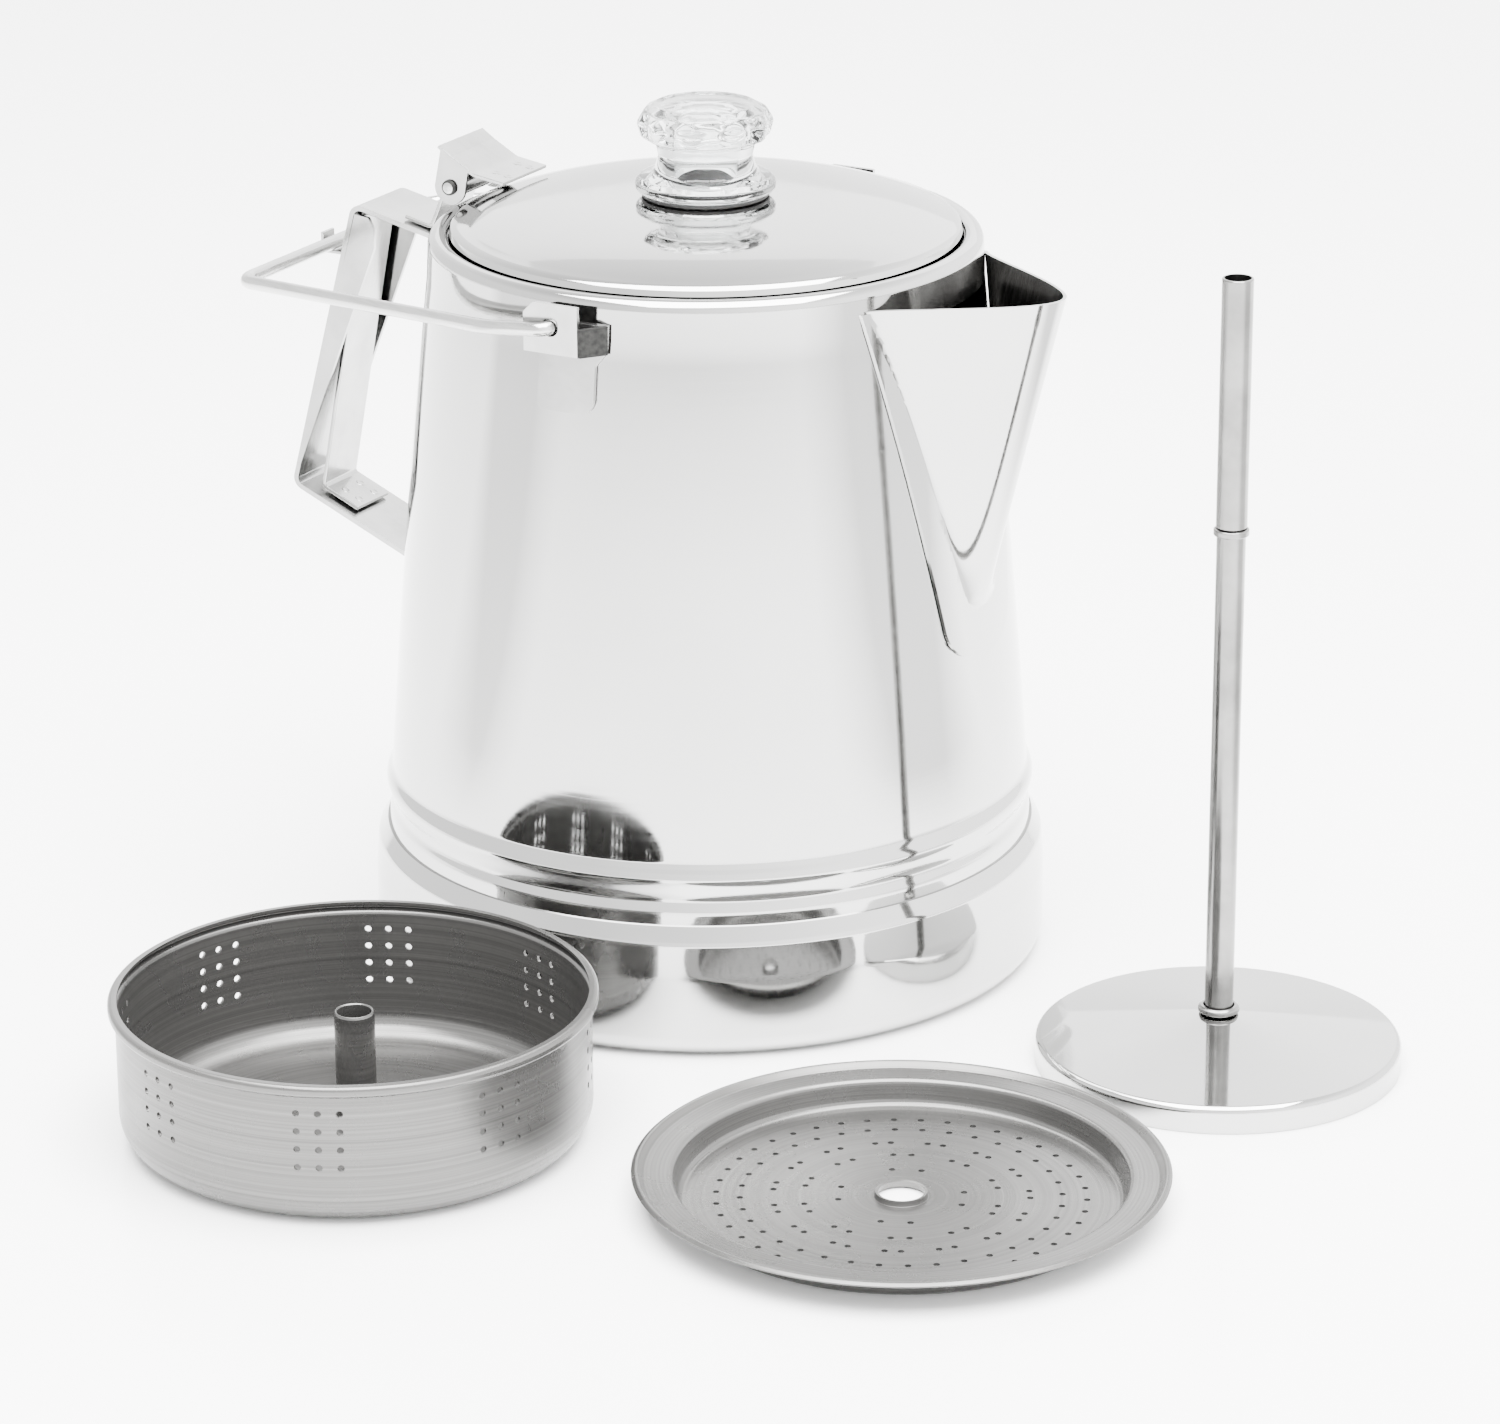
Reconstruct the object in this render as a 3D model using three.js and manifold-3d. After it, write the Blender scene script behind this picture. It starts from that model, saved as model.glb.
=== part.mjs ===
// Stainless camp percolator with its coffee insert laid out beside it.
// Millimetres, +Z up. The pot's axis is Z, its base rests on Z = 0,
// the spout points to +X, the handle to -X and the bail's ears are on -Y and +Y.

import * as THREE from 'three';
import { mergeVertices } from 'three/addons/utils/BufferGeometryUtils.js';
import Module from 'manifold-3d';

const wasm = await Module();
wasm.setup();

// ---------------------------------------------------------------- driving dimensions

const GAP = 0.3; // clearance between separate pieces
const TURN = 44; // facets round a large circle
const SMALL_TURN = 20; // facets round a small circle
const ARC_STEPS = 3; // facets in one bend of a sheet

const SHEET = 0.9; // pot and lid sheet
const STRIP = 1.5; // handle strip

const RIM_HEIGHT = 213.9; // top of the pot's curled rim
const RIM_CURL = 3.3; // radius of the curl
const TOP_RADIUS = 78.8; // body radius under the curl
const TAPER = 0.113; // how fast the body widens below the rim
const BULGE = 0.00014; // how far its side is rounded
const BEAD_HEIGHT = 52; // swaged bead above the base pan
const BEAD_DEPTH = 1.1;

const BASE_RADIUS = 97.9;
const BASE_HEIGHT = 30;
const BASE_CORNER = 7;

const SPOUT_TOP = 207.5;
const SPOUT_BOTTOM = 114;
const SPOUT_TIP = 112.8; // distance of the lip from the pot's axis
const SPOUT_HALF_WIDTH = 34.6; // where the mouth meets the body
const FLANGE_MARGIN = 4.2;

const BAIL_PIVOT_HEIGHT = 206.1;
const BAIL_WIRE = 2; // wire radius
const BAIL_REACH = 124.7; // pivot to crossbar, along X
const BAIL_REST_HEIGHT = 194.3; // crossbar height at rest
const BAIL_HALF_WIDTH = 50.8;
const EAR_FACE = 85.9; // outer face of an ear's front plate

const HANDLE_WIDTH = 24;
const HANDLE_TOP = [-111.2, 209.2]; // upper outer corner, x and z
const HANDLE_BOTTOM = [-134.9, 121.4]; // lower outer corner
const HANDLE_ROOTS = [202.2, 102]; // heights where the arms meet the body
const BRACE_WIDTH = 17;

const HINGE = [-77.8, 218.8]; // lid pin, x and z
const PIN_RADIUS = 1.5;
const BRACKET_WIDTH = 24;

const LID_RADIUS = 72.9;
const LID_EDGE_HEIGHT = 215.9; // where the dome starts
const LID_RISE = 7.6;
const LID_HOLE = 11.5;

const KNOB_FLANGE_HEIGHT = 225.3;
const KNOB_NECK = 11; // radius where the knob passes the lid
const KNOB_BORE = 9.4;
const KNOB_SCALLOPS = 10;

const BASKET_PLACE = [-13.0, -171.8]; // centres of the loose units on the floor
const SPREADER_PLACE = [137.5, -140.8];
const PUMP_PLACE = [172.2, -16.9];

const BASKET_RADIUS = 63.8; // mid-wall
const BASKET_HEIGHT = 41;
const SPREADER_RADIUS = 71.7;
const PUMP_RADIUS = 51;
const STEM_STOP = 155.5; // height of the stop ring on the stem
const STEM_TOP = 225.8;

// ---------------------------------------------------------------- materials

function steel(name, color, roughness) {
  return new THREE.MeshStandardMaterial({ name, color, roughness, metalness: 1 });
}

const polished = steel('polished_steel', 0xd4d6d8, 0.08);
const satin = steel('satin_steel', 0xa9a8a5, 0.32);
const wire = steel('drawn_wire', 0xc4c3bf, 0.22);
const glass = new THREE.MeshStandardMaterial({
  name: 'clear_glass', color: 0xf2f5f5, roughness: 0.02, metalness: 0, transparent: true, opacity: 0.4,
});
const rubber = new THREE.MeshStandardMaterial({
  name: 'black_seal', color: 0x161616, roughness: 0.6, metalness: 0,
});

// ---------------------------------------------------------------- solids and sheets

function solid(geometry) {
  const bare = geometry.clone();
  bare.deleteAttribute('normal');
  bare.deleteAttribute('uv');
  const welded = mergeVertices(bare, 1e-5);
  return new wasm.Manifold(new wasm.Mesh({
    numProp: 3,
    vertProperties: welded.attributes.position.array,
    triVerts: new Uint32Array(welded.index.array),
  }));
}

function geometryOf(manifold) {
  const result = manifold.getMesh();
  const geometry = new THREE.BufferGeometry();
  geometry.setAttribute('position', new THREE.BufferAttribute(new Float32Array(result.vertProperties), 3));
  geometry.setIndex(new THREE.BufferAttribute(new Uint32Array(result.triVerts), 1));
  geometry.computeVertexNormals();
  return geometry;
}

function part(name, geometry, material) {
  const mesh = new THREE.Mesh(geometry, material);
  mesh.name = name;
  return mesh;
}

// Points are [x, y] or [x, y, bend radius]; a corner with a radius becomes an arc.
function bend(points, steps = ARC_STEPS) {
  const path = [];
  points.forEach(([x, y, radius], i) => {
    const corner = new THREE.Vector2(x, y);
    if (!radius || i === 0 || i === points.length - 1) {
      path.push(corner);
      return;
    }
    const before = new THREE.Vector2(...points[i - 1].slice(0, 2)).sub(corner).normalize();
    const after = new THREE.Vector2(...points[i + 1].slice(0, 2)).sub(corner).normalize();
    const half = Math.acos(THREE.MathUtils.clamp(before.dot(after), -1, 1)) / 2;
    const centre = before.clone().add(after).normalize().multiplyScalar(radius / Math.sin(half)).add(corner);
    const start = before.clone().multiplyScalar(radius / Math.tan(half)).add(corner).sub(centre);
    const end = after.clone().multiplyScalar(radius / Math.tan(half)).add(corner).sub(centre);
    let sweep = end.angle() - start.angle();
    if (sweep > Math.PI) sweep -= 2 * Math.PI;
    if (sweep < -Math.PI) sweep += 2 * Math.PI;
    for (let k = 0; k <= steps; k += 1) {
      path.push(start.clone().rotateAround(new THREE.Vector2(), sweep * k / steps).add(centre));
    }
  });
  return path;
}

// Outline of a sheet of even thickness that follows a path, always anticlockwise.
function sheetOutline(path, thickness) {
  const left = [];
  const right = [];
  path.forEach((point, i) => {
    const into = point.clone().sub(path[Math.max(i - 1, 0)]).normalize();
    const out = path[Math.min(i + 1, path.length - 1)].clone().sub(point).normalize();
    if (i === 0) into.copy(out);
    if (i === path.length - 1) out.copy(into);
    const along = into.clone().add(out).normalize();
    const mitre = thickness / 2 / along.dot(into);
    const normal = new THREE.Vector2(-along.y, along.x).multiplyScalar(mitre);
    left.push(point.clone().add(normal));
    right.push(point.clone().sub(normal));
  });
  const outline = [...left, ...right.reverse()];
  return THREE.ShapeUtils.isClockWise(outline) ? outline.reverse() : outline;
}

// Turns an anticlockwise outline of [radius, height] points about Z.
function revolve(outline, facets = TURN) {
  const points = outline.map((p) => (p.isVector2 ? p : new THREE.Vector2(...p)));
  const onAxis = points.filter((p) => p.x === 0).length;
  const closed = onAxis ? points : [...points, points[0].clone()];
  return new THREE.LatheGeometry(closed, facets).rotateX(Math.PI / 2);
}

function revolvedSheet(points, thickness, facets = TURN) {
  return revolve(sheetOutline(bend(points), thickness), facets);
}

function tube(outer, inner, bottom, top, facets = SMALL_TURN) {
  return revolve([[inner, bottom], [outer, bottom], [outer, top], [inner, top]], facets);
}

// Extrudes an outline drawn in X and Z along Y, from y0 to y1.
function extrudeAcross(outline, y0, y1, holes = []) {
  const points = outline.map((p) => (p.isVector2 ? p : new THREE.Vector2(...p)));
  const shape = new THREE.Shape(THREE.ShapeUtils.isClockWise(points) ? points.reverse() : points);
  shape.holes.push(...holes);
  const settings = { depth: y1 - y0, bevelEnabled: false, curveSegments: 10 };
  return new THREE.ExtrudeGeometry(shape, settings).rotateX(Math.PI / 2).translate(0, y1, 0);
}

function extrudeUp(outline, z0, z1) {
  const shape = new THREE.Shape(outline.map((p) => new THREE.Vector2(...p)));
  return new THREE.ExtrudeGeometry(shape, { depth: z1 - z0, bevelEnabled: false }).translate(0, 0, z0);
}

function bentStrip(points, thickness, width) {
  return extrudeAcross(sheetOutline(bend(points), thickness), -width / 2, width / 2);
}

function rod(radius, length, facets = SMALL_TURN) {
  return new THREE.CylinderGeometry(radius, radius, length, facets);
}

function round(x, y, radius) {
  return new THREE.Path().absarc(x, y, radius, 0, 2 * Math.PI, true);
}

// ---------------------------------------------------------------- pot

function bodyRadius(z) {
  const below = RIM_HEIGHT - 8 - z;
  return TOP_RADIUS + TAPER * below - BULGE * below * below;
}

function bodySide(offset, bottom, top, steps) {
  const side = [];
  for (let i = 0; i <= steps; i += 1) {
    const z = bottom + (top - bottom) * i / steps;
    side.push(new THREE.Vector2(bodyRadius(z) + offset, z));
  }
  return side;
}

// The solid inside the body's outer face, grown by an offset; cuts parts that lie on the body.
function bodyCore(offset) {
  const side = bodySide(offset, 60, RIM_HEIGHT - 4, 10);
  return solid(revolve([new THREE.Vector2(0, 60), ...side, new THREE.Vector2(0, RIM_HEIGHT - 4)]));
}

function rimCurl() {
  const centre = new THREE.Vector2(TOP_RADIUS - RIM_CURL, RIM_HEIGHT - RIM_CURL);
  const radius = RIM_CURL - SHEET / 2;
  const curl = [];
  for (let angle = 0; angle <= 210; angle += 30) {
    const turn = THREE.MathUtils.degToRad(angle);
    curl.push(new THREE.Vector2(Math.cos(turn), Math.sin(turn)).multiplyScalar(radius).add(centre));
  }
  return curl;
}

function potBody() {
  const inset = -SHEET / 2;
  const foot = BASE_RADIUS - 3.4 + inset;
  const lower = [[foot, 12], [foot, 34], [bodyRadius(BEAD_HEIGHT) + inset - 0.2, BEAD_HEIGHT - 4.5]];
  const bead = [-2.4, 0, 2.4].map((dz) => (
    [bodyRadius(BEAD_HEIGHT) + inset + BEAD_DEPTH * (dz === 0 ? 1 : 0.55), BEAD_HEIGHT + dz]));
  const path = [
    ...[...lower, ...bead].map((p) => new THREE.Vector2(...p)),
    ...bodySide(inset, BEAD_HEIGHT + 4.5, RIM_HEIGHT - 8, 5),
    ...rimCurl(),
  ];
  const shell = solid(revolve(sheetOutline(path, SHEET)));
  const opening = spoutForm({ inset: 3.5, bottom: SPOUT_BOTTOM + 12, top: SPOUT_TOP - 6, start: 40 });
  return part('pot_body', geometryOf(shell.subtract(opening)), polished);
}

function potBase() {
  const wall = BASE_RADIUS - SHEET / 2;
  const outline = sheetOutline(bend([
    [0, SHEET / 2],
    [wall, SHEET / 2, BASE_CORNER],
    [wall, BASE_HEIGHT - 6],
    [wall - 0.6, BASE_HEIGHT - 2.4],
    [wall - 1.9, BASE_HEIGHT],
  ]), SHEET);
  const centred = outline.map((p) => new THREE.Vector2(Math.max(p.x, 0), p.y));
  return part('pot_base', revolve(centred), polished);
}

// ---------------------------------------------------------------- spout

// Half of a level section through the spout: from the body's side to the keel.
function spoutSection(z, inset) {
  const share = Math.max((z - SPOUT_BOTTOM) / (SPOUT_TOP - SPOUT_BOTTOM), 0);
  const half = Math.max(4 + (SPOUT_HALF_WIDTH - 4) * share - inset, 0.4);
  const bottomKeel = bodyRadius(SPOUT_BOTTOM);
  const keel = bottomKeel + (SPOUT_TIP - bottomKeel) * share - inset * 1.1;
  const side = Math.sqrt(bodyRadius(z) ** 2 - half ** 2) - 4;
  const reach = Math.max(keel - side, 0.5);
  return new THREE.CubicBezierCurve(
    new THREE.Vector2(side, half),
    new THREE.Vector2(side + 0.58 * reach, 0.55 * half),
    new THREE.Vector2(side + reach, 0.12 * half),
    new THREE.Vector2(side + reach, 0),
  ).getPoints(7);
}

// Solid form of the spout, reaching back inside the body to x = start.
function spoutForm({ inset, bottom, top, start }) {
  const levels = 6;
  const rings = [];
  for (let i = 0; i <= levels; i += 1) {
    const z = bottom + (top - bottom) * i / levels;
    const half = spoutSection(z, inset);
    const mirrored = half.slice(0, -1).reverse().map((p) => new THREE.Vector2(p.x, -p.y));
    const back = [new THREE.Vector2(start, -half[0].y), new THREE.Vector2(start, half[0].y)];
    rings.push([...half, ...mirrored, ...back].reverse().map((p) => [p.x, p.y, z]));
  }
  return solid(loft(rings));
}

// Closes a stack of equal rings, given anticlockwise from below to above.
function loft(rings) {
  const count = rings[0].length;
  const positions = rings.flat(2);
  const index = [];
  for (let r = 0; r < rings.length - 1; r += 1) {
    for (let i = 0; i < count; i += 1) {
      const a = r * count + i;
      const b = r * count + (i + 1) % count;
      index.push(a, b, b + count, a, b + count, a + count);
    }
  }
  const cap = THREE.ShapeUtils.triangulateShape(rings[0].map((p) => new THREE.Vector2(p[0], p[1])), []);
  const last = (rings.length - 1) * count;
  for (const [a, b, c] of cap) {
    index.push(a, c, b, last + a, last + b, last + c);
  }
  const geometry = new THREE.BufferGeometry();
  geometry.setAttribute('position', new THREE.Float32BufferAttribute(positions, 3));
  geometry.setIndex(index);
  return geometry;
}

function spoutFlange() {
  const top = SPOUT_TOP - 0.6;
  const halfTop = SPOUT_HALF_WIDTH + FLANGE_MARGIN - 0.8;
  const halfLow = 17.5;
  const bottom = SPOUT_BOTTOM - 13;
  const outline = bend([
    [-halfTop, top],
    [-halfLow, bottom + 4, 13],
    [0, bottom - 0.5, 24],
    [halfLow, bottom + 4, 13],
    [halfTop, top],
  ], 6);
  // drawn in Y and Z, pushed out along X
  const outlined = new THREE.Shape(outline);
  const plate = new THREE.ExtrudeGeometry(outlined, { depth: 60, bevelEnabled: false })
    .rotateX(Math.PI / 2).rotateZ(Math.PI / 2).translate(50, 0, 0);
  return solid(plate).intersect(bodyCore(GAP + SHEET));
}

function spout() {
  const outer = spoutForm({ inset: 0, bottom: SPOUT_BOTTOM - 3, top: SPOUT_TOP, start: 50 });
  const inner = spoutForm({ inset: SHEET, bottom: SPOUT_BOTTOM + 2, top: SPOUT_TOP + 4, start: 45 });
  const formed = outer.add(spoutFlange()).subtract(inner).subtract(bodyCore(GAP));
  return part('spout', geometryOf(formed), polished);
}

// ---------------------------------------------------------------- bail and its ears

function bailEar(name, side) {
  const thick = 1.2;
  const low = BAIL_PIVOT_HEIGHT - 7.5;
  const top = BAIL_PIVOT_HEIGHT + 6.5;
  const leafTop = BAIL_PIVOT_HEIGHT + 0.4;
  const leafBottom = BAIL_PIVOT_HEIGHT - 24.5;
  const plate = solid(extrudeAcross(
    [[-8.4, low], [8.8, low], [8.8, top], [-5.4, top], [-8.4, top - 3]],
    -EAR_FACE, -EAR_FACE + thick,
    [round(0, BAIL_PIVOT_HEIGHT, BAIL_WIRE + 0.6)],
  ));
  const inner = -EAR_FACE + 6.6;
  const web = solid(extrudeUp(
    [[8.0, -EAR_FACE], [9.6, -EAR_FACE], [14.4, inner], [13.2, inner + 1]], low, leafTop,
  ));
  const leafOutline = bend([
    [-6.5, leafTop], [-6.5, leafBottom, 2.5], [11, leafBottom, 4],
    [11, low - 3.5, 1], [14, low + 0.5, 1], [14, leafTop],
  ], 3);
  const leaf = solid(extrudeAcross(leafOutline, -EAR_FACE - 2, -60))
    .intersect(bodyCore(GAP + thick));
  const bracket = plate.add(web).add(leaf).subtract(bodyCore(GAP));
  const ear = part(name, geometryOf(bracket), polished);
  if (side > 0) ear.geometry = mirrorY(ear.geometry);
  return ear;
}

// Mirror image across the XZ plane, with its faces still turned outward.
function mirrorY(geometry) {
  const mirrored = geometry.clone().scale(1, -1, 1);
  const order = mirrored.index.array;
  for (let i = 0; i < order.length; i += 3) [order[i + 1], order[i + 2]] = [order[i + 2], order[i + 1]];
  mirrored.computeVertexNormals();
  return mirrored;
}

// A round wire through points, each corner bent to its radius.
function bentWire(points, radius, steps) {
  const path = new THREE.CurvePath();
  let from = new THREE.Vector3(...points[0].slice(0, 3));
  for (let i = 1; i < points.length; i += 1) {
    const corner = new THREE.Vector3(...points[i].slice(0, 3));
    const last = i === points.length - 1;
    const bendRadius = last ? 0 : points[i][3];
    const into = corner.clone().sub(from).normalize();
    const straightEnd = corner.clone().addScaledVector(into, -bendRadius);
    path.add(new THREE.LineCurve3(from, straightEnd));
    if (last) break;
    const next = new THREE.Vector3(...points[i + 1].slice(0, 3));
    const away = next.sub(corner).normalize();
    const bendEnd = corner.clone().addScaledVector(away, bendRadius);
    path.add(new THREE.QuadraticBezierCurve3(straightEnd, corner, bendEnd));
    from = bendEnd;
  }
  const circle = new THREE.Shape().absarc(0, 0, radius, 0, 2 * Math.PI, false);
  return new THREE.ExtrudeGeometry(circle, { steps, extrudePath: path, curveSegments: 4, bevelEnabled: false });
}

function bailWire() {
  const arm = EAR_FACE + BAIL_WIRE + 0.6;
  const straight = 18;
  const drop = (BAIL_PIVOT_HEIGHT - BAIL_REST_HEIGHT) * straight / BAIL_REACH;
  const half = [
    [0, -EAR_FACE + 3.6, BAIL_PIVOT_HEIGHT],
    [0, -arm, BAIL_PIVOT_HEIGHT, 3.2],
    [-straight, -arm, BAIL_PIVOT_HEIGHT - drop, 6],
    [-BAIL_REACH, -BAIL_HALF_WIDTH, BAIL_REST_HEIGHT, 6],
  ];
  const other = half.map(([x, y, z, r]) => [x, -y, z, r]).reverse();
  return part('bail_wire', bentWire([...half, ...other], BAIL_WIRE, 84), wire);
}

// ---------------------------------------------------------------- handle

// X of the strap's mid-plane at a height.
function strapX(z) {
  const [topX, topZ] = HANDLE_TOP;
  const [lowX, lowZ] = HANDLE_BOTTOM;
  return topX + (z - topZ) * (lowX - topX) / (lowZ - topZ);
}

function handleStrap() {
  const [topX, topZ] = HANDLE_TOP;
  const [lowX, lowZ] = HANDLE_BOTTOM;
  const [upperRoot, lowerRoot] = HANDLE_ROOTS;
  const strap = solid(bentStrip([
    [-bodyRadius(upperRoot) - 2 * GAP, upperRoot],
    [topX, topZ, 3],
    [lowX, lowZ, 3],
    [-bodyRadius(lowerRoot) - 2 * GAP, lowerRoot],
  ], STRIP, HANDLE_WIDTH));
  const flange = [[topX + 0.3, topZ - 2.5], [lowX + 0.9, lowZ + 3], [lowX + 1.9, lowZ + 5], [topX + 7.4, topZ - 3]];
  const edge = HANDLE_WIDTH / 2;
  const near = solid(extrudeAcross(flange, -edge, -edge + 1.2));
  const far = solid(extrudeAcross(flange, edge - 1.2, edge));
  return part('handle_strap', geometryOf(strap.add(near).add(far)), polished);
}

function handleBrace() {
  const [topX, topZ] = HANDLE_TOP;
  const [lowX, lowZ] = HANDLE_BOTTOM;
  const brace = bentStrip([
    [topX + 10.2, topZ - 4.2],
    [topX + 1, topZ - 2.2, 2],
    [lowX + 7.9, lowZ - 1, 2],
    [lowX + 19.9, lowZ - 6.2],
  ], 1.2, BRACE_WIDTH);
  return part('handle_brace', brace, polished);
}

function bailRest() {
  const seat = BAIL_REST_HEIGHT - BAIL_WIRE - 0.9;
  const tip = -BAIL_REACH - BAIL_WIRE - 1.7;
  const standoff = STRIP / 2 + GAP + 0.65;
  const hook = bentStrip([
    [strapX(seat - 7.9) - standoff, seat - 7.9],
    [strapX(seat) - standoff, seat, 0.8],
    [tip, seat, 1.2],
    [tip, seat + 5.6],
  ], 1, 6);
  return part('bail_rest', hook, polished);
}

// ---------------------------------------------------------------- lid and its hinge

function hingeKnuckle() {
  const [x, z] = HINGE;
  const width = 19;
  const leaf = solid(bentStrip([
    [x - 17.2, z - 11.4],
    [x - 8.4, z - 13.4, 1.5],
    [x - 2.8, z - 0.5],
  ], 1.2, width));
  const eye = solid(rod(3.5, width).translate(x, 0, z));
  const bore = solid(rod(PIN_RADIUS + 0.4, width + 2).translate(x, 0, z));
  const clear = solid(extrudeAcross([[x, z - 6], [x + 6, z - 6], [x + 6, z + 6], [x, z + 6]], -20, 20));
  return part('hinge_knuckle', geometryOf(leaf.subtract(clear).add(eye).subtract(bore)), polished);
}

function hingePin() {
  const [x, z] = HINGE;
  const half = BRACKET_WIDTH / 2 + 1.2;
  const outline = [[0, -half], [2.3, -half], [2.3, -half + 0.9], [PIN_RADIUS, -half + 0.9]];
  const upper = outline.map(([r, y]) => [r, -y]).reverse();
  const pin = new THREE.LatheGeometry([...outline, ...upper].map((p) => new THREE.Vector2(...p)), SMALL_TURN);
  return part('hinge_pin', pin.translate(x, 0, z), wire);
}

function lidTop(r) {
  return LID_EDGE_HEIGHT + LID_RISE * (1 - (r / (LID_RADIUS - 1.3)) ** 4);
}

function lidCover() {
  const skirt = LID_RADIUS - 0.9;
  const radii = [LID_HOLE, 30, 44, 54, 62, 68, skirt - 0.5];
  const dome = radii.map((r) => new THREE.Vector2(r, lidTop(r) - SHEET / 2));
  const edge = [
    [skirt, LID_EDGE_HEIGHT - 1.4],
    [skirt, LID_EDGE_HEIGHT - 1.8],
    [skirt + 0.2, LID_EDGE_HEIGHT - 2.4],
  ];
  const path = [...dome, ...edge.map((p) => new THREE.Vector2(...p))];
  const shell = solid(revolve(sheetOutline(path, SHEET)));
  const low = LID_EDGE_HEIGHT - 5;
  const notch = solid(extrudeUp([[-5.5, -14], [5.5, -14], [5.5, 14], [-5.5, 14]], low, low + 20));
  return part('lid_cover', geometryOf(shell.subtract(notch)), polished);
}

function lidBracket() {
  const [x, z] = HINGE;
  const half = BRACKET_WIDTH / 2;
  const plate = solid(bentStrip([
    [x - 3.8, z + 11.6],
    [x + 0.4, z + 9, 1.5],
    [x + 18, z + 3.1],
  ], 1, BRACKET_WIDTH));
  const lower = new THREE.Path().absarc(x, z, 5.2, 0, -Math.PI, true).getPoints(6);
  const outline = [[x - 3, z + 10.8], [x + 0.4, z + 8.8], [x + 7.4, z + 6.5], ...lower];
  const bore = round(x, z, PIN_RADIUS + 0.4);
  const near = solid(extrudeAcross(outline, -half, -half + 1, [bore]));
  const far = solid(extrudeAcross(outline, half - 1, half, [bore]));
  return part('lid_bracket', geometryOf(plate.add(near).add(far)), polished);
}

function knobSeal() {
  return part('knob_seal', tube(18.4, 14.6, KNOB_FLANGE_HEIGHT - 1.5, KNOB_FLANGE_HEIGHT - GAP), rubber);
}

function glassKnob() {
  const base = KNOB_FLANGE_HEIGHT;
  const foot = base - 9.4;
  const outside = [
    [KNOB_BORE, foot], [KNOB_NECK, foot], [KNOB_NECK, base],
    [19.2, base], [19.9, base + 0.9], [19.9, base + 2.8], [18.8, base + 3.9],
    [15.4, base + 5], [13.6, base + 7.2], [13.3, base + 10], [14, base + 12.8], [16.4, base + 15],
    [18.3, base + 17.2], [18.8, base + 19.6], [18.2, base + 21.9], [16.6, base + 23.6], [14.2, base + 24.4],
    [8, base + 24.9], [0, base + 25],
  ];
  const inside = [[0, base + 18.6], [6, base + 18.2], [8.8, base + 16.4], [KNOB_BORE, base + 13]];
  const shape = revolve([...outside, ...inside, outside[0]], 4 * KNOB_SCALLOPS);
  scallop(shape, base + 14, base + 24);
  const lug = solid(extrudeUp([[-13.4, -4.6], [13.4, -4.6], [13.4, 4.6], [-13.4, 4.6]], foot + 1.2, foot + 4.2))
    .intersect(solid(tube(13.4, KNOB_BORE + 0.5, foot + 0.5, foot + 5, TURN)));
  return part('glass_knob', geometryOf(solid(shape).add(lug)), glass);
}

// Shallow scallops round the knob's cap, deepest at mid-height.
function scallop(geometry, low, high) {
  const place = geometry.attributes.position;
  for (let i = 0; i < place.count; i += 1) {
    const [x, y, z] = [place.getX(i), place.getY(i), place.getZ(i)];
    const radius = Math.hypot(x, y);
    if (z <= low || z >= high || radius < 12) continue;
    const depth = 0.04 * Math.sin(Math.PI * (z - low) / (high - low));
    const grow = 1 + depth * Math.cos(KNOB_SCALLOPS * Math.atan2(y, x));
    place.setXY(i, x * grow, y * grow);
  }
}

// ---------------------------------------------------------------- coffee insert

// A thin rod along X, used to punch one small hole through a sheet.
function punchRod(radius, length) {
  return new THREE.CylinderGeometry(radius, radius, length, 4).rotateY(Math.PI / 4).rotateZ(Math.PI / 2);
}

function punch(sheet, rods) {
  return rods.reduce((left, hole) => left.subtract(hole), sheet);
}

function basketCup() {
  const wall = BASKET_RADIUS;
  const shell = solid(revolvedSheet([
    [6.3, 0.4],
    [wall, 0.4, 9],
    [wall, BASKET_HEIGHT - 3],
    [wall + 2.0, BASKET_HEIGHT - 2.4],
    [wall + 2.0, BASKET_HEIGHT - 1],
    [wall + 1.2, BASKET_HEIGHT - 0.4],
    [wall, BASKET_HEIGHT - 0.6],
  ], 0.8));
  const groups = 8;
  const groupStart = THREE.MathUtils.degToRad(24.4);
  const columnStep = 5.7 / wall;
  const rods = [];
  for (let group = 0; group < groups; group += 1) {
    for (const column of [-1, 0, 1]) {
      const turn = groupStart + group * 2 * Math.PI / groups + column * columnStep;
      for (let row = 0; row < 4; row += 1) {
        const hole = punchRod(1.1, 6).translate(wall, 0, 17.5 + 5.1 * row).rotateZ(turn);
        rods.push(solid(hole));
      }
    }
  }
  return part('basket_cup', geometryOf(punch(shell, rods)), satin);
}

function basketTube() {
  const outline = [
    [4.7, 0.2], [5.5, 0.2], [5.5, 1.2], [9, 1.2], [9, 2], [5.5, 2], [5.5, 34.4], [5.1, 35], [4.7, 34.4],
  ];
  return part('basket_tube', revolve(outline, SMALL_TURN), satin);
}

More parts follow.
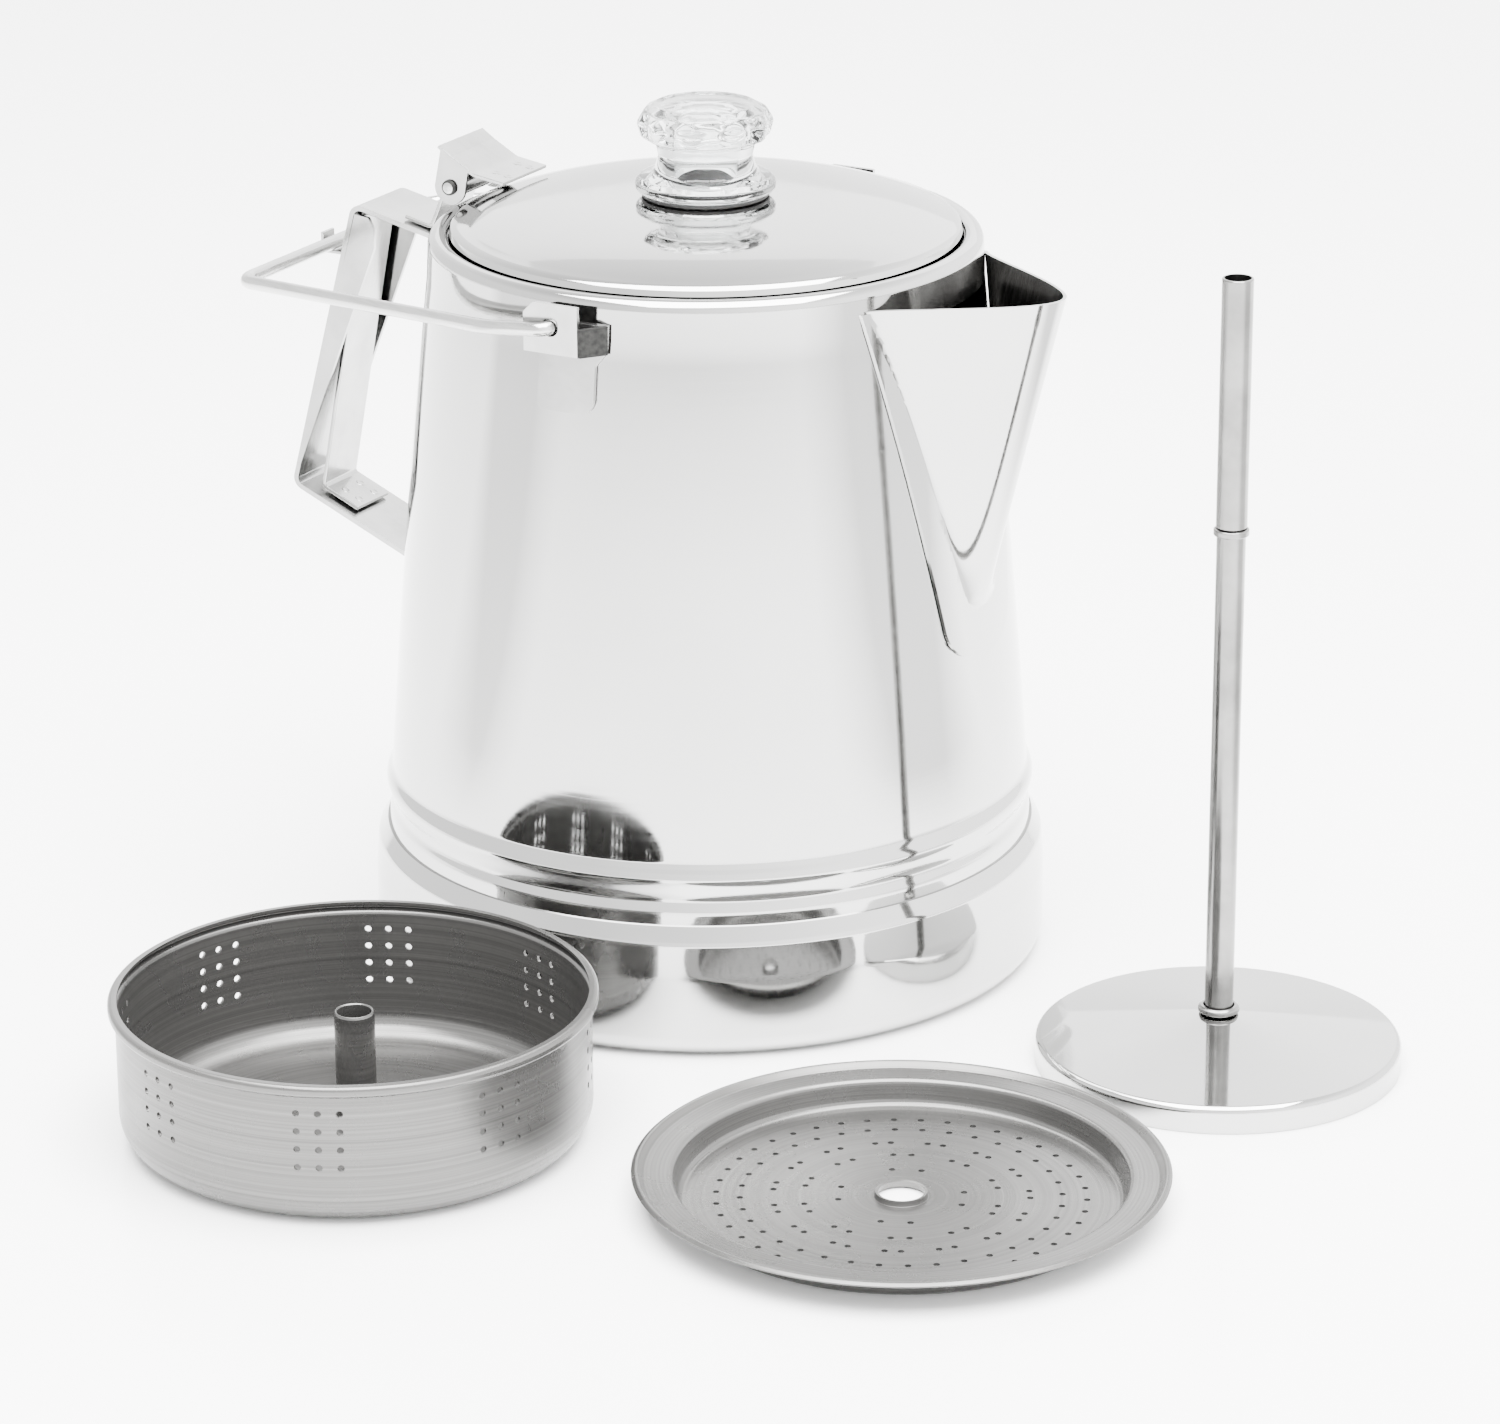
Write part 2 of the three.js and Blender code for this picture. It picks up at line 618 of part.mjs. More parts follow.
function spreaderPlate() {
  const rim = SPREADER_RADIUS - 0.9;
  const shell = solid(revolvedSheet([
    [6.6, 2.2],
    [6.9, 0.4],
    [rim - 11.4, 0.4, 2.5],
    [rim - 10.1, 7.3],
    [rim - 2.4, 7.5],
    [rim - 0.4, 9.2],
    [rim + 0.5, 8.4],
  ], 0.8));
  // rings of small holes: radius, number of holes, and whether they stand in pairs
  const rings = [
    { radius: 49, count: 42 },
    { radius: 42.6, count: 36 },
    { radius: 34, count: 30, pairs: true },
    { radius: 26.1, count: 20, pairs: true },
    { radius: 16.8, count: 8, pairs: true },
  ];
  const rods = rings.flatMap(({ radius, count, pairs }) => {
    const step = 2 * Math.PI / count;
    return Array.from({ length: count }, (_, i) => {
      const shift = pairs ? (i % 2 ? -0.2 : 0.2) : 0;
      const hole = punchRod(1.05, 4).rotateY(Math.PI / 2).translate(radius, 0, 0);
      return solid(hole.rotateZ((i + shift) * step));
    });
  });
  return part('spreader_plate', geometryOf(punch(shell, rods)), satin);
}

function pumpBase() {
  const base = revolvedSheet([[PUMP_RADIUS - 0.4, 0], [PUMP_RADIUS - 0.4, 7, 1.6], [5.1, 14]], 0.8);
  return part('pump_base', base, polished);
}

function pumpStem() {
  return [
    part('pump_collar', tube(5.8, 4.4, 14.9, 16.8), polished),
    part('pump_lower_tube', tube(4.0, 3.4, 2, STEM_STOP + 0.6), polished),
    part('pump_stop_ring', tube(4.9, 4.35, STEM_STOP - 1.5, STEM_STOP + 0.5), polished),
    part('pump_upper_tube', tube(4.3, 3.7, STEM_STOP + 0.9, STEM_TOP), polished),
  ];
}

// ---------------------------------------------------------------- assembly

function unit(name, place, parts) {
  const group = new THREE.Group();
  group.name = name;
  group.position.set(place[0], place[1], 0);
  group.add(...parts);
  return group;
}

const percolator = new THREE.Group();
percolator.name = 'percolator';
percolator.add(
  unit('pot_unit', [0, 0], [
    potBody(), potBase(), spout(), bailEar('bail_ear_near', -1), bailEar('bail_ear_far', 1),
    handleStrap(), handleBrace(), bailRest(), hingeKnuckle(), hingePin(),
  ]),
  unit('lid_unit', [0, 0], [lidCover(), lidBracket(), knobSeal(), glassKnob()]),
  unit('bail_unit', [0, 0], [bailWire()]),
  unit('basket_unit', BASKET_PLACE, [basketCup(), basketTube()]),
  unit('spreader_unit', SPREADER_PLACE, [spreaderPlate()]),
  unit('pump_unit', PUMP_PLACE, [pumpBase(), ...pumpStem()]),
);

export default percolator;
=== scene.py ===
"""Looks of the camp percolator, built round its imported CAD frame. Blender 4.5, metres, +Z up."""

import math

import bmesh
import bpy
from mathutils import Matrix, Vector


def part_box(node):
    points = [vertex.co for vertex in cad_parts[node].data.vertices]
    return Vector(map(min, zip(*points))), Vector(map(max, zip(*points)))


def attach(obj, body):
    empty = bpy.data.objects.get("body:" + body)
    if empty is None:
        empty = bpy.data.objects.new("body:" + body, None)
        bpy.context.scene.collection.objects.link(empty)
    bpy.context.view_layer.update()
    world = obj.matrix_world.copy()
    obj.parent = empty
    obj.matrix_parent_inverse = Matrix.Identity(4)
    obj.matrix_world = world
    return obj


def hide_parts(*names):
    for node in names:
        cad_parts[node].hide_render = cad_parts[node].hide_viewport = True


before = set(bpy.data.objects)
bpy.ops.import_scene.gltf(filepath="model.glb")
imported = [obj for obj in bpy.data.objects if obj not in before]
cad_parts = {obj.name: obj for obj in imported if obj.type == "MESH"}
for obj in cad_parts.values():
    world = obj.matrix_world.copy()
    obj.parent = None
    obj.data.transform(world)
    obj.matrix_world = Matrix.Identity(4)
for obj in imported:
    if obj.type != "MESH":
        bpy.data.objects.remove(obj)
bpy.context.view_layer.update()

# ------------------------------------------------------------------ sizes
# Shapes are written in millimetres, and piece() turns them into metres. The studio is in metres.

MM = 0.001
TURN = 256  # segments round a large circle
SMALL_TURN = 64
ARC_STEPS = 8  # segments round a bend
SHEET = 0.9  # thickness of the pot's and the lid's steel
STRIP = 1.2  # thickness of the ears', the brace's and the hinge's strip steel
SHARP = 32  # degrees: an edge that turns further is shaded as a sharp one
ROUNDED_SHARP = 28  # the same, once a piece has rounded edges

LOW, HIGH = 0, 1  # the two corners of a box


def edge(node, side, axis):
    """One side of a CAD node's box, in millimetres."""
    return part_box(node)[side]["xyz".index(axis)] / MM


def middle_of(node, axis):
    """Middle of a CAD node's box along one axis, in millimetres."""
    return (edge(node, LOW, axis) + edge(node, HIGH, axis)) / 2


def centre(node):
    """Centre of a CAD node in plan, in millimetres."""
    return [middle_of(node, axis) for axis in "xy"]


def radius_of(node):
    """Radius of a round CAD node, in millimetres."""
    return (edge(node, HIGH, "x") - edge(node, LOW, "x")) / 2


RIM_HEIGHT = edge("pot_body", HIGH, "z")
BASE_RADIUS = edge("pot_base", HIGH, "x")
RIM_CURL = 3.3  # radius of the rolled rim
CURL_ROOM = 8  # how far below the rim's top the tapered side starts
TOP_RADIUS = 78.8  # body radius where the tapered side starts
TAPER = 0.113  # radius gained for each millimetre further down
TAPER_EASE = 0.00014  # how that gain lessens
DOME = 7.6  # the lid's rise from its edge to its middle
LID_RADIUS = edge("lid_cover", HIGH, "x") + 0.3
LID_TOP = edge("lid_cover", HIGH, "z")
LID_EDGE = LID_TOP - DOME
KNOB_BASE = edge("knob_seal", HIGH, "z") + 0.3
SPOUT_TOP = edge("spout", HIGH, "z")
SPOUT_TIP = edge("spout", HIGH, "x")
SPOUT_BOTTOM = 114
PIN_X = middle_of("hinge_pin", "x")
PIN_Z = middle_of("hinge_pin", "z")
PIN_BORE = 1.9  # radius of the holes that the hinge pin runs in
BAIL_WIRE = 2.0  # radius of the bail's wire
BAIL_HEIGHT = edge("bail_wire", HIGH, "z") - BAIL_WIRE
EAR_FACE = edge("bail_ear_far", HIGH, "y")
EAR_HOLE = 2.6  # radius of the holes that the bail hooks into
HANDLE_TOP = (-111.2, 209.2)  # X and Z of the strap's two bends
HANDLE_BOTTOM = (-134.9, 121.4)


def body_radius(z):
    """Outer radius of the pot's tapered side at a height."""
    below = RIM_HEIGHT - CURL_ROOM - z
    return TOP_RADIUS + TAPER * below - TAPER_EASE * below * below


# ------------------------------------------------------------------ materials

NOISE_LOW, NOISE_HIGH = 0.3, 0.7  # most of a noise's values lie between these


def node_setup(name):
    """A new material with its nodes, links and shader."""
    material = bpy.data.materials.new(name)
    material.use_nodes = True
    nodes, links = material.node_tree.nodes, material.node_tree.links
    return material, nodes, links, nodes["Principled BSDF"]


def noise(nodes, links, vector, scale, detail=3.0, roughness=0.5):
    """A noise value over a coordinate."""
    texture = nodes.new("ShaderNodeTexNoise")
    texture.inputs["Scale"].default_value = scale
    texture.inputs["Detail"].default_value = detail
    texture.inputs["Roughness"].default_value = roughness
    links.new(vector, texture.inputs["Vector"])
    return texture.outputs["Fac"]


def spread(nodes, links, value, low, high, start=NOISE_LOW, end=NOISE_HIGH):
    """Maps a value that runs from start to end onto the range low to high."""
    mapping = nodes.new("ShaderNodeMapRange")
    mapping.inputs["From Min"].default_value = start
    mapping.inputs["From Max"].default_value = end
    mapping.inputs["To Min"].default_value = low
    mapping.inputs["To Max"].default_value = high
    links.new(value, mapping.inputs["Value"])
    return mapping.outputs["Result"]


def combined(nodes, links, operation, first, second):
    """Arithmetic on two values, each a number or the output of a node."""
    node = nodes.new("ShaderNodeMath")
    node.operation = operation
    for socket, value in zip(node.inputs, (first, second)):
        if isinstance(value, float):
            socket.default_value = value
        else:
            links.new(value, socket)
    return node.outputs["Value"]


def tint(nodes, links, value, dark, light):
    """Maps a noise onto the colours from dark to light."""
    ramp = nodes.new("ShaderNodeValToRGB")
    ramp.color_ramp.elements[0].position = NOISE_LOW
    ramp.color_ramp.elements[1].position = NOISE_HIGH
    ramp.color_ramp.elements[0].color = (*dark, 1)
    ramp.color_ramp.elements[1].color = (*light, 1)
    links.new(value, ramp.inputs["Fac"])
    return ramp.outputs["Color"]


def bump(nodes, links, height, strength, distance, base=None):
    """A normal raised by a height, on top of a base normal where there is one."""
    node = nodes.new("ShaderNodeBump")
    node.inputs["Strength"].default_value = strength
    node.inputs["Distance"].default_value = distance
    links.new(height, node.inputs["Height"])
    if base is not None:
        links.new(base, node.inputs["Normal"])
    return node.outputs["Normal"]


def object_place(nodes):
    """A coordinate fixed to the object."""
    return nodes.new("ShaderNodeTexCoord").outputs["Object"]


def stretched(nodes, links, vector, scale):
    """A coordinate scaled by its own amount along each axis."""
    mapping = nodes.new("ShaderNodeMapping")
    mapping.inputs["Scale"].default_value = scale
    links.new(vector, mapping.inputs["Vector"])
    return mapping.outputs["Vector"]


def spun(nodes, links, vector, fineness):
    """A coordinate that changes only with radius and height, for the rings that spinning leaves."""
    split = nodes.new("ShaderNodeSeparateXYZ")
    links.new(vector, split.inputs["Vector"])
    flat = nodes.new("ShaderNodeCombineXYZ")
    links.new(split.outputs["X"], flat.inputs["X"])
    links.new(split.outputs["Y"], flat.inputs["Y"])
    radius = nodes.new("ShaderNodeVectorMath")
    radius.operation = "LENGTH"
    links.new(flat.outputs["Vector"], radius.inputs[0])
    rings = nodes.new("ShaderNodeCombineXYZ")
    links.new(radius.outputs["Value"], rings.inputs["X"])
    links.new(split.outputs["Z"], rings.inputs["Y"])
    return stretched(nodes, links, rings.outputs["Vector"], (fineness, fineness, fineness))


def polished_steel():
    """Mirror-polished sheet with a faint haze and faint rings."""
    material, nodes, links, shader = node_setup("polished_steel_look")
    place = object_place(nodes)
    cloud = noise(nodes, links, place, 9, 4)
    colour = tint(nodes, links, cloud, (0.42, 0.42, 0.415), (0.48, 0.48, 0.475))
    links.new(colour, shader.inputs["Base Color"])
    shader.inputs["Metallic"].default_value = 1
    streaks = noise(nodes, links, spun(nodes, links, place, 420), 1, 5, 0.7)
    haze = noise(nodes, links, place, 26, 6, 0.65)
    blend = combined(nodes, links, "MULTIPLY", streaks, haze)
    links.new(spread(nodes, links, blend, 0.03, 0.11, 0.1, 0.45), shader.inputs["Roughness"])
    waves = bump(nodes, links, noise(nodes, links, place, 14, 1), 0.12, 0.001)
    links.new(bump(nodes, links, streaks, 0.02, 0.0002, waves), shader.inputs["Normal"])
    return material


def satin_steel():
    """Spun satin sheet, as on the basket and the spreader."""
    material, nodes, links, shader = node_setup("satin_steel_look")
    place = object_place(nodes)
    rings = noise(nodes, links, spun(nodes, links, place, 1000), 1, 4, 0.75)
    cloud = noise(nodes, links, place, 34, 5, 0.6)
    colour = tint(nodes, links, rings, (0.075, 0.074, 0.072), (0.14, 0.138, 0.134))
    links.new(colour, shader.inputs["Base Color"])
    shader.inputs["Metallic"].default_value = 0.8
    shader.inputs["Anisotropic"].default_value = 0.55
    links.new(spread(nodes, links, cloud, 0.20, 0.36), shader.inputs["Roughness"])
    links.new(bump(nodes, links, rings, 0.07, 0.0003), shader.inputs["Normal"])
    tangent = nodes.new("ShaderNodeTangent")
    tangent.direction_type = "RADIAL"
    tangent.axis = "Z"
    links.new(tangent.outputs["Tangent"], shader.inputs["Tangent"])
    return material


def sheet_steel(name, dark, light):
    """Bright but unpolished steel with a fine grain, as on the handle and the pump's stem."""
    material, nodes, links, shader = node_setup(name)
    place = object_place(nodes)
    grain = noise(nodes, links, stretched(nodes, links, place, (60, 900, 60)), 1, 4, 0.7)
    cloud = noise(nodes, links, place, 60, 5, 0.6)
    links.new(tint(nodes, links, cloud, dark, light), shader.inputs["Base Color"])
    shader.inputs["Metallic"].default_value = 1
    links.new(spread(nodes, links, grain, 0.14, 0.26), shader.inputs["Roughness"])
    links.new(bump(nodes, links, grain, 0.08, 0.0002), shader.inputs["Normal"])
    return material


def drawn_wire():
    """Bright wire with drawing marks."""
    material, nodes, links, shader = node_setup("drawn_wire_look")
    place = object_place(nodes)
    grain = noise(nodes, links, stretched(nodes, links, place, (40, 40, 700)), 1, 4, 0.7)
    links.new(tint(nodes, links, grain, (0.40, 0.40, 0.395), (0.54, 0.54, 0.53)), shader.inputs["Base Color"])
    shader.inputs["Metallic"].default_value = 1
    links.new(spread(nodes, links, grain, 0.16, 0.30), shader.inputs["Roughness"])
    links.new(bump(nodes, links, grain, 0.1, 0.0002), shader.inputs["Normal"])
    return material


def clear_glass():
    """Pressed glass with slight waves."""
    material, nodes, links, shader = node_setup("clear_glass_look")
    place = object_place(nodes)
    swirl = noise(nodes, links, place, 90, 2)
    links.new(tint(nodes, links, swirl, (0.86, 0.88, 0.88), (0.94, 0.95, 0.95)), shader.inputs["Base Color"])
    shader.inputs["Transmission Weight"].default_value = 1
    shader.inputs["IOR"].default_value = 1.5
    links.new(spread(nodes, links, swirl, 0.0, 0.03), shader.inputs["Roughness"])
    links.new(bump(nodes, links, swirl, 0.08, 0.0006), shader.inputs["Normal"])
    return material


def painted_shade_steel():
    """Painted shade: a near-black, rough steel on hole walls, on the backs and undersides of small fittings
    and on the ears' webs, where shade and dark reflections fall.
    """
    material, nodes, links, shader = node_setup("punched_edge_look")
    grain = noise(nodes, links, object_place(nodes), 700, 3)
    links.new(tint(nodes, links, grain, (0.02, 0.02, 0.02), (0.05, 0.05, 0.048)), shader.inputs["Base Color"])
    shader.inputs["Metallic"].default_value = 1
    links.new(spread(nodes, links, grain, 0.5, 0.7), shader.inputs["Roughness"])
    return material


def black_seal():
    """Matte black silicone."""
    material, nodes, links, shader = node_setup("black_seal_look")
    grain = noise(nodes, links, object_place(nodes), 900, 3)
    links.new(tint(nodes, links, grain, (0.01, 0.01, 0.01), (0.03, 0.03, 0.03)), shader.inputs["Base Color"])
    links.new(spread(nodes, links, grain, 0.45, 0.65), shader.inputs["Roughness"])
    links.new(bump(nodes, links, grain, 0.2, 0.0001), shader.inputs["Normal"])
    return material


POLISHED = polished_steel()
SATIN = satin_steel()
STRIP_STEEL = sheet_steel("strip_steel_look", (0.34, 0.34, 0.335), (0.46, 0.46, 0.455))
TUBE_STEEL = sheet_steel("tube_steel_look", (0.15, 0.148, 0.144), (0.25, 0.248, 0.242))
WIRE = drawn_wire()
GLASS = clear_glass()
SEAL = black_seal()
# Near-black steel of painted shade, for holes, hollows and the undersides of fittings.
PAINTED_SHADE = painted_shade_steel()

# ------------------------------------------------------------------ mesh tools


def piece(name, points, faces, material, place=(0, 0, 0), sharp=SHARP):
    """A smooth-shaded mesh object; points are in millimetres round its place."""
    mesh = bpy.data.meshes.new(name)
    mesh.from_pydata([Vector(p) * MM for p in points], [], faces)
    mesh.validate()
    obj = bpy.data.objects.new(name, mesh)
    obj.location = Vector(place) * MM
    bpy.context.scene.collection.objects.link(obj)
    mesh.materials.append(material)
    tidy_normals(obj, sharp)
    return obj


def tidy_normals(obj, sharp=SHARP):
    """Merges doubled points, turns faces outward and marks the sharp edges."""
    shape = bmesh.new()
    shape.from_mesh(obj.data)
    bmesh.ops.remove_doubles(shape, verts=shape.verts, dist=1e-7)
    bmesh.ops.recalc_face_normals(shape, faces=shape.faces)
    shape.to_mesh(obj.data)
    shape.free()
    obj.data.shade_smooth()
    obj.data.set_sharp_from_angle(angle=math.radians(sharp))


def apply_modifiers(obj, sharp=SHARP):
    """Keeps what the modifiers make of the mesh, and drops them."""
    bpy.context.view_layer.update()
    made = bpy.data.meshes.new_from_object(obj.evaluated_get(bpy.context.evaluated_depsgraph_get()))
    obj.modifiers.clear()
    obj.data = made
    tidy_normals(obj, sharp)


def cut(obj, cutters, operation="DIFFERENCE"):
    """Cuts other solids out of one, joins them to it or keeps what they share, and removes them."""
    for cutter in cutters:
        modifier = obj.modifiers.new("cut", "BOOLEAN")
        modifier.operation = operation
        modifier.solver = "EXACT"
        modifier.object = cutter
    apply_modifiers(obj)
    for cutter in cutters:
        bpy.data.objects.remove(cutter)
    return obj


def round_edges(obj, width):
    """Rounds the edges where faces meet at more than 40 degrees."""
    modifier = obj.modifiers.new("edges", "BEVEL")
    modifier.width = width * MM
    modifier.segments = 2
    modifier.limit_method = "ANGLE"
    modifier.angle_limit = math.radians(40)
    apply_modifiers(obj, ROUNDED_SHARP)
    return obj


def bend(points, steps=ARC_STEPS):
    """Rounds each corner (x, y, radius) of a path with an arc; (x, y) stays sharp."""
    path = []
    for i, point in enumerate(points):
        corner = Vector(point[:2])
        radius = point[2] if len(point) > 2 else 0
        if not radius or i in (0, len(points) - 1):
            path.append(corner)
            continue
        before = (Vector(points[i - 1][:2]) - corner).normalized()
        after = (Vector(points[i + 1][:2]) - corner).normalized()
        half = before.angle(after) / 2
        middle = corner + (before + after).normalized() * radius / math.sin(half)
        start = corner + before * radius / math.tan(half) - middle
        end = corner + after * radius / math.tan(half) - middle
        sweep = math.atan2(start.x * end.y - start.y * end.x, start.dot(end))
        for k in range(steps + 1):
            path.append(middle + Matrix.Rotation(sweep * k / steps, 2) @ start)
    return path


def sheet_outline(path, thickness):
    """Closed outline of a sheet of even thickness along a path."""
    left, right = [], []
    for i, point in enumerate(path):
        into = (point - path[max(i - 1, 0)]).normalized() if i else None
        out = (path[i + 1] - point).normalized() if i < len(path) - 1 else None
        into, out = into or out, out or into
        along = (into + out).normalized()
        normal = Vector((-along.y, along.x)) * thickness / 2 / along.dot(into)
        left.append(point + normal)
        right.append(point - normal)
    return left + right[::-1]


def angles(turn):
    """Even steps round a full turn."""
    return [2 * math.pi * s / turn for s in range(turn)]


def revolve(name, outline, material, place=(0, 0), turn=TURN, grow=None, sharp=SHARP):
    """Turns a closed outline of (radius, height) about the vertical through a place."""
    points, faces = [], []
    count = len(outline)
    for angle in angles(turn):
        for r, z in outline:
            r = max(r, 0) * (grow(angle, z) if grow else 1)
            points.append((r * math.cos(angle), r * math.sin(angle), z))
    for s in range(turn):
        a, b = s * count, (s + 1) % turn * count
        for i in range(count):
            j = (i + 1) % count
            if outline[i][0] > 0 or outline[j][0] > 0:
                faces.append((a + i, b + i, b + j, a + j))
    return piece(name, points, faces, material, (*place, 0), sharp)


def revolved_sheet(name, path, thickness, material, place):
    """Turns a sheet's path, with its bends rounded, about the vertical through a place."""
    return revolve(name, sheet_outline(bend(path), thickness), material, place)


def prism(name, start, end, material):
    """A solid between two closed outlines of equally many points."""
    count = len(start)
    sides = [(i, (i + 1) % count, count + (i + 1) % count, count + i) for i in range(count)]
    caps = [tuple(range(count)), tuple(range(2 * count - 1, count - 1, -1))]
    return piece(name, [*start, *end], sides + caps, material)


def extrude_across(name, outline, y0, y1, material):
    """Extrudes an outline drawn in X and Z from y0 to y1."""
    start, end = ([(x, y, z) for x, z in outline] for y in (y0, y1))
    return prism(name, start, end, material)


def strip(name, path, thickness, width):
    """A bent strip, symmetric about the plane through spout and handle."""
    outline = sheet_outline(bend(path), thickness)
    return round_edges(extrude_across(name, outline, -width / 2, width / 2, STRIP_STEEL), 0.25)


def rod(name, start, end, radius, material, turn=SMALL_TURN):
    """A plain round bar between two points, for the hinge's eye and for cutting holes."""
    start, end = Vector(start), Vector(end)
    turned = (end - start).to_track_quat("Z", "Y").to_matrix()
    ring = [turned @ Vector((radius * math.cos(a), radius * math.sin(a), 0)) for a in angles(turn)]
    return prism(name, [start + p for p in ring], [end + p for p in ring], material)


def joined(name, objects):
    """Several meshes as one object, for a single cut."""
    shape = bmesh.new()
    for obj in objects:
        copy = obj.data.copy()
        copy.transform(obj.matrix_basis)
        shape.from_mesh(copy)
        bpy.data.objects.remove(obj)
    mesh = bpy.data.meshes.new(name)
    shape.to_mesh(mesh)
    shape.free()
    obj = bpy.data.objects.new(name, mesh)
    bpy.context.scene.collection.objects.link(obj)
    return obj


def second_steel(obj, steel=PAINTED_SHADE):
    """Gives an object a second steel, unless it has it already, and returns the steel's number on it."""
    if steel.name not in obj.data.materials:
        obj.data.materials.append(steel)
    return obj.data.materials.find(steel.name)


def paint_shade(obj, chosen=None, steel=PAINTED_SHADE):
    """Paints shade on all the faces of an object, or on the chosen ones, in the near-black steel of painted
    shade or in another given steel.
    """
    number = second_steel(obj, steel)
    for face in obj.data.polygons:
        if chosen is None or chosen(face):
            face.material_index = number
    return obj


def weld_marks(name, spots, normal, body, radius):
    """Round spot-weld marks on a strip, each a shallow hollow with a raised rim, as one piece."""
    turned = normal.to_track_quat("Z", "Y").to_matrix()
    profile = [(0, 0.02), (0.55, 0.05), (0.8, 0.16), (1, 0.02), (1, -0.25), (0, -0.25)]
    points, faces = [], []
    turn = 20
    for spot in spots:
        start = len(points)
        for r, h in profile:
            for angle in angles(turn):
                offset = Vector((r * radius * math.cos(angle), r * radius * math.sin(angle), h))
                points.append(Vector(spot) + turned @ offset)
        for k in range(len(profile) - 1):
            for s in range(turn):
                a, b = start + k * turn + s, start + k * turn + (s + 1) % turn
                faces.append((a, b, b + turn, a + turn))
    marks = piece(name, points, faces, STRIP_STEEL, sharp=60)
    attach(marks, body)


def stand_in(obj, body, slot, *nodes):
    """Fixes a finished piece to its body and hides the CAD nodes it shows; the slot is not used."""
    shading = obj.modifiers.new("shading", "WEIGHTED_NORMAL")
    shading.keep_sharp = True
    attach(obj, body)
    if nodes:
        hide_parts(*nodes)
    return obj


# ------------------------------------------------------------------ pot

def swell(z, middle, width, height):
    """A rounded ring pressed into the body: how far it stands out at a height."""
    share = (z - middle) / width
    return height * math.cos(share * math.pi / 2) ** 2 if abs(share) < 1 else 0


def body_side(z):
    """Outer radius of the side with its pressed ring and the groove below it."""
    return body_radius(z) + swell(z, 52, 4.6, 1.5) - swell(z, 45.5, 3.6, 0.7)


def pot_shell():
    """The body: a straight foot inside the pan, the tapered side and the rolled rim."""
    inset = SHEET / 2
    foot = BASE_RADIUS - 3.4
    widest = BASE_RADIUS - 2.2
    path = [Vector((foot - inset, z)) for z in (12, 22)]
    z = 28.0
    while z < RIM_HEIGHT - CURL_ROOM:
        path.append(Vector((min(body_side(z), widest) - inset, z)))
        z += 0.7 if z < 58 else 6  # finer up to the top of the pressed ring
    middle = Vector((TOP_RADIUS - RIM_CURL, RIM_HEIGHT - RIM_CURL))
    for step in range(22):
        angle = math.radians(10 * step)
        path.append(middle + Vector((math.cos(angle), math.sin(angle))) * (RIM_CURL - inset))
    shell = revolve("body_shell", sheet_outline(path, SHEET), POLISHED)
    shape = spout_solid("pour_opening", 3.5, SPOUT_BOTTOM + 12, SPOUT_TOP - 6, 40)
    return stand_in(cut(shell, [shape]), "pot", "polished_steel", "pot_body")


def pot_pan():
    """The pan under the body, with its lip closed on the body."""
    wall = BASE_RADIUS - SHEET / 2
    lip = 38.4
    path = bend([
        (0, SHEET / 2), (wall, SHEET / 2, 6), (wall, 24, 30),
        (wall - 0.7, 34, 3), (body_radius(lip) + 0.2, lip),
    ])
    pan = revolve("base_pan", sheet_outline(path, SHEET), POLISHED)
    return stand_in(pan, "pot", "polished_steel", "pot_base")


# ------------------------------------------------------------------ spout

def spout_section(z, inset):
    """Half of a level section through the spout's V: from the body's side to the keel."""
    share = max((z - SPOUT_BOTTOM) / (SPOUT_TOP - SPOUT_BOTTOM), 0)
    half = max(9 + 27.5 * share - inset, 0.8)
    keel_foot = body_radius(SPOUT_BOTTOM) + 0.6
    keel = keel_foot + (SPOUT_TIP - keel_foot) * share - inset * 1.1
    skin = body_radius(z) + 1 - inset
    side = math.sqrt(skin ** 2 - half ** 2)
    reach = max(keel - side, 0.5)
    a = Vector((side, half))
    b = a + Vector((half, -side)) / skin * half * 0.2
    c, d = Vector((side + reach, 0.36 * half)), Vector((side + reach, 0))
    section = []
    steps = 24
    for i in range(steps + 1):
        t = i / steps
        u = 1 - t
        section.append(a * u ** 3 + b * 3 * u * u * t + c * 3 * u * t * t + d * t ** 3)
    return section


def spout_solid(name, inset, bottom, top, start, levels=40):
    """Solid form of the spout, reaching back inside the body."""
    rings = []
    for i in range(levels + 1):
        z = bottom + (top - bottom) * i / levels
        half = spout_section(z, inset)
        mirrored = [Vector((p.x, -p.y)) for p in half[-2::-1]]
        back = [Vector((start, -half[0].y)), Vector((start, half[0].y))]
        rings.append([(p.x, p.y, z) for p in half + mirrored + back])
    count = len(rings[0])
    points = [p for ring in rings for p in ring]
    faces = [tuple(range(count - 1, -1, -1)), tuple(range(levels * count, (levels + 1) * count))]
    for r in range(levels):
        for i in range(count):
            j = (i + 1) % count
            faces.append((r * count + i, r * count + j, (r + 1) * count + j, (r + 1) * count + i))
    return piece(name, points, faces, POLISHED)


def body_core(name, offset, bottom=60):
    """The solid inside the body's outer face, grown by an offset."""
    top = RIM_HEIGHT - 4
    side = [(body_radius(z) + offset, z) for z in range(bottom, int(top), 5)]
    outline = [(0, bottom), *side, (body_radius(top) + offset, top), (0, top)]
    return revolve(name, outline, POLISHED)


def spout_flange():
    """The welded edge of the spout: a broad V of sheet that lies on the body."""
    top = SPOUT_TOP - 0.6
    bottom = SPOUT_BOTTOM - 13
    outline = bend([
        (-38, top), (-17.5, bottom + 4, 13), (0, bottom - 0.5, 24), (17.5, bottom + 4, 13), (38, top),
    ], 16)
    inner, outer = ([(x, y, z) for y, z in outline] for x in (50, 110))
    flange = prism("flange_form", inner, outer, POLISHED)
    return cut(flange, [body_core("flange_skin", 1.2)], "INTERSECT")


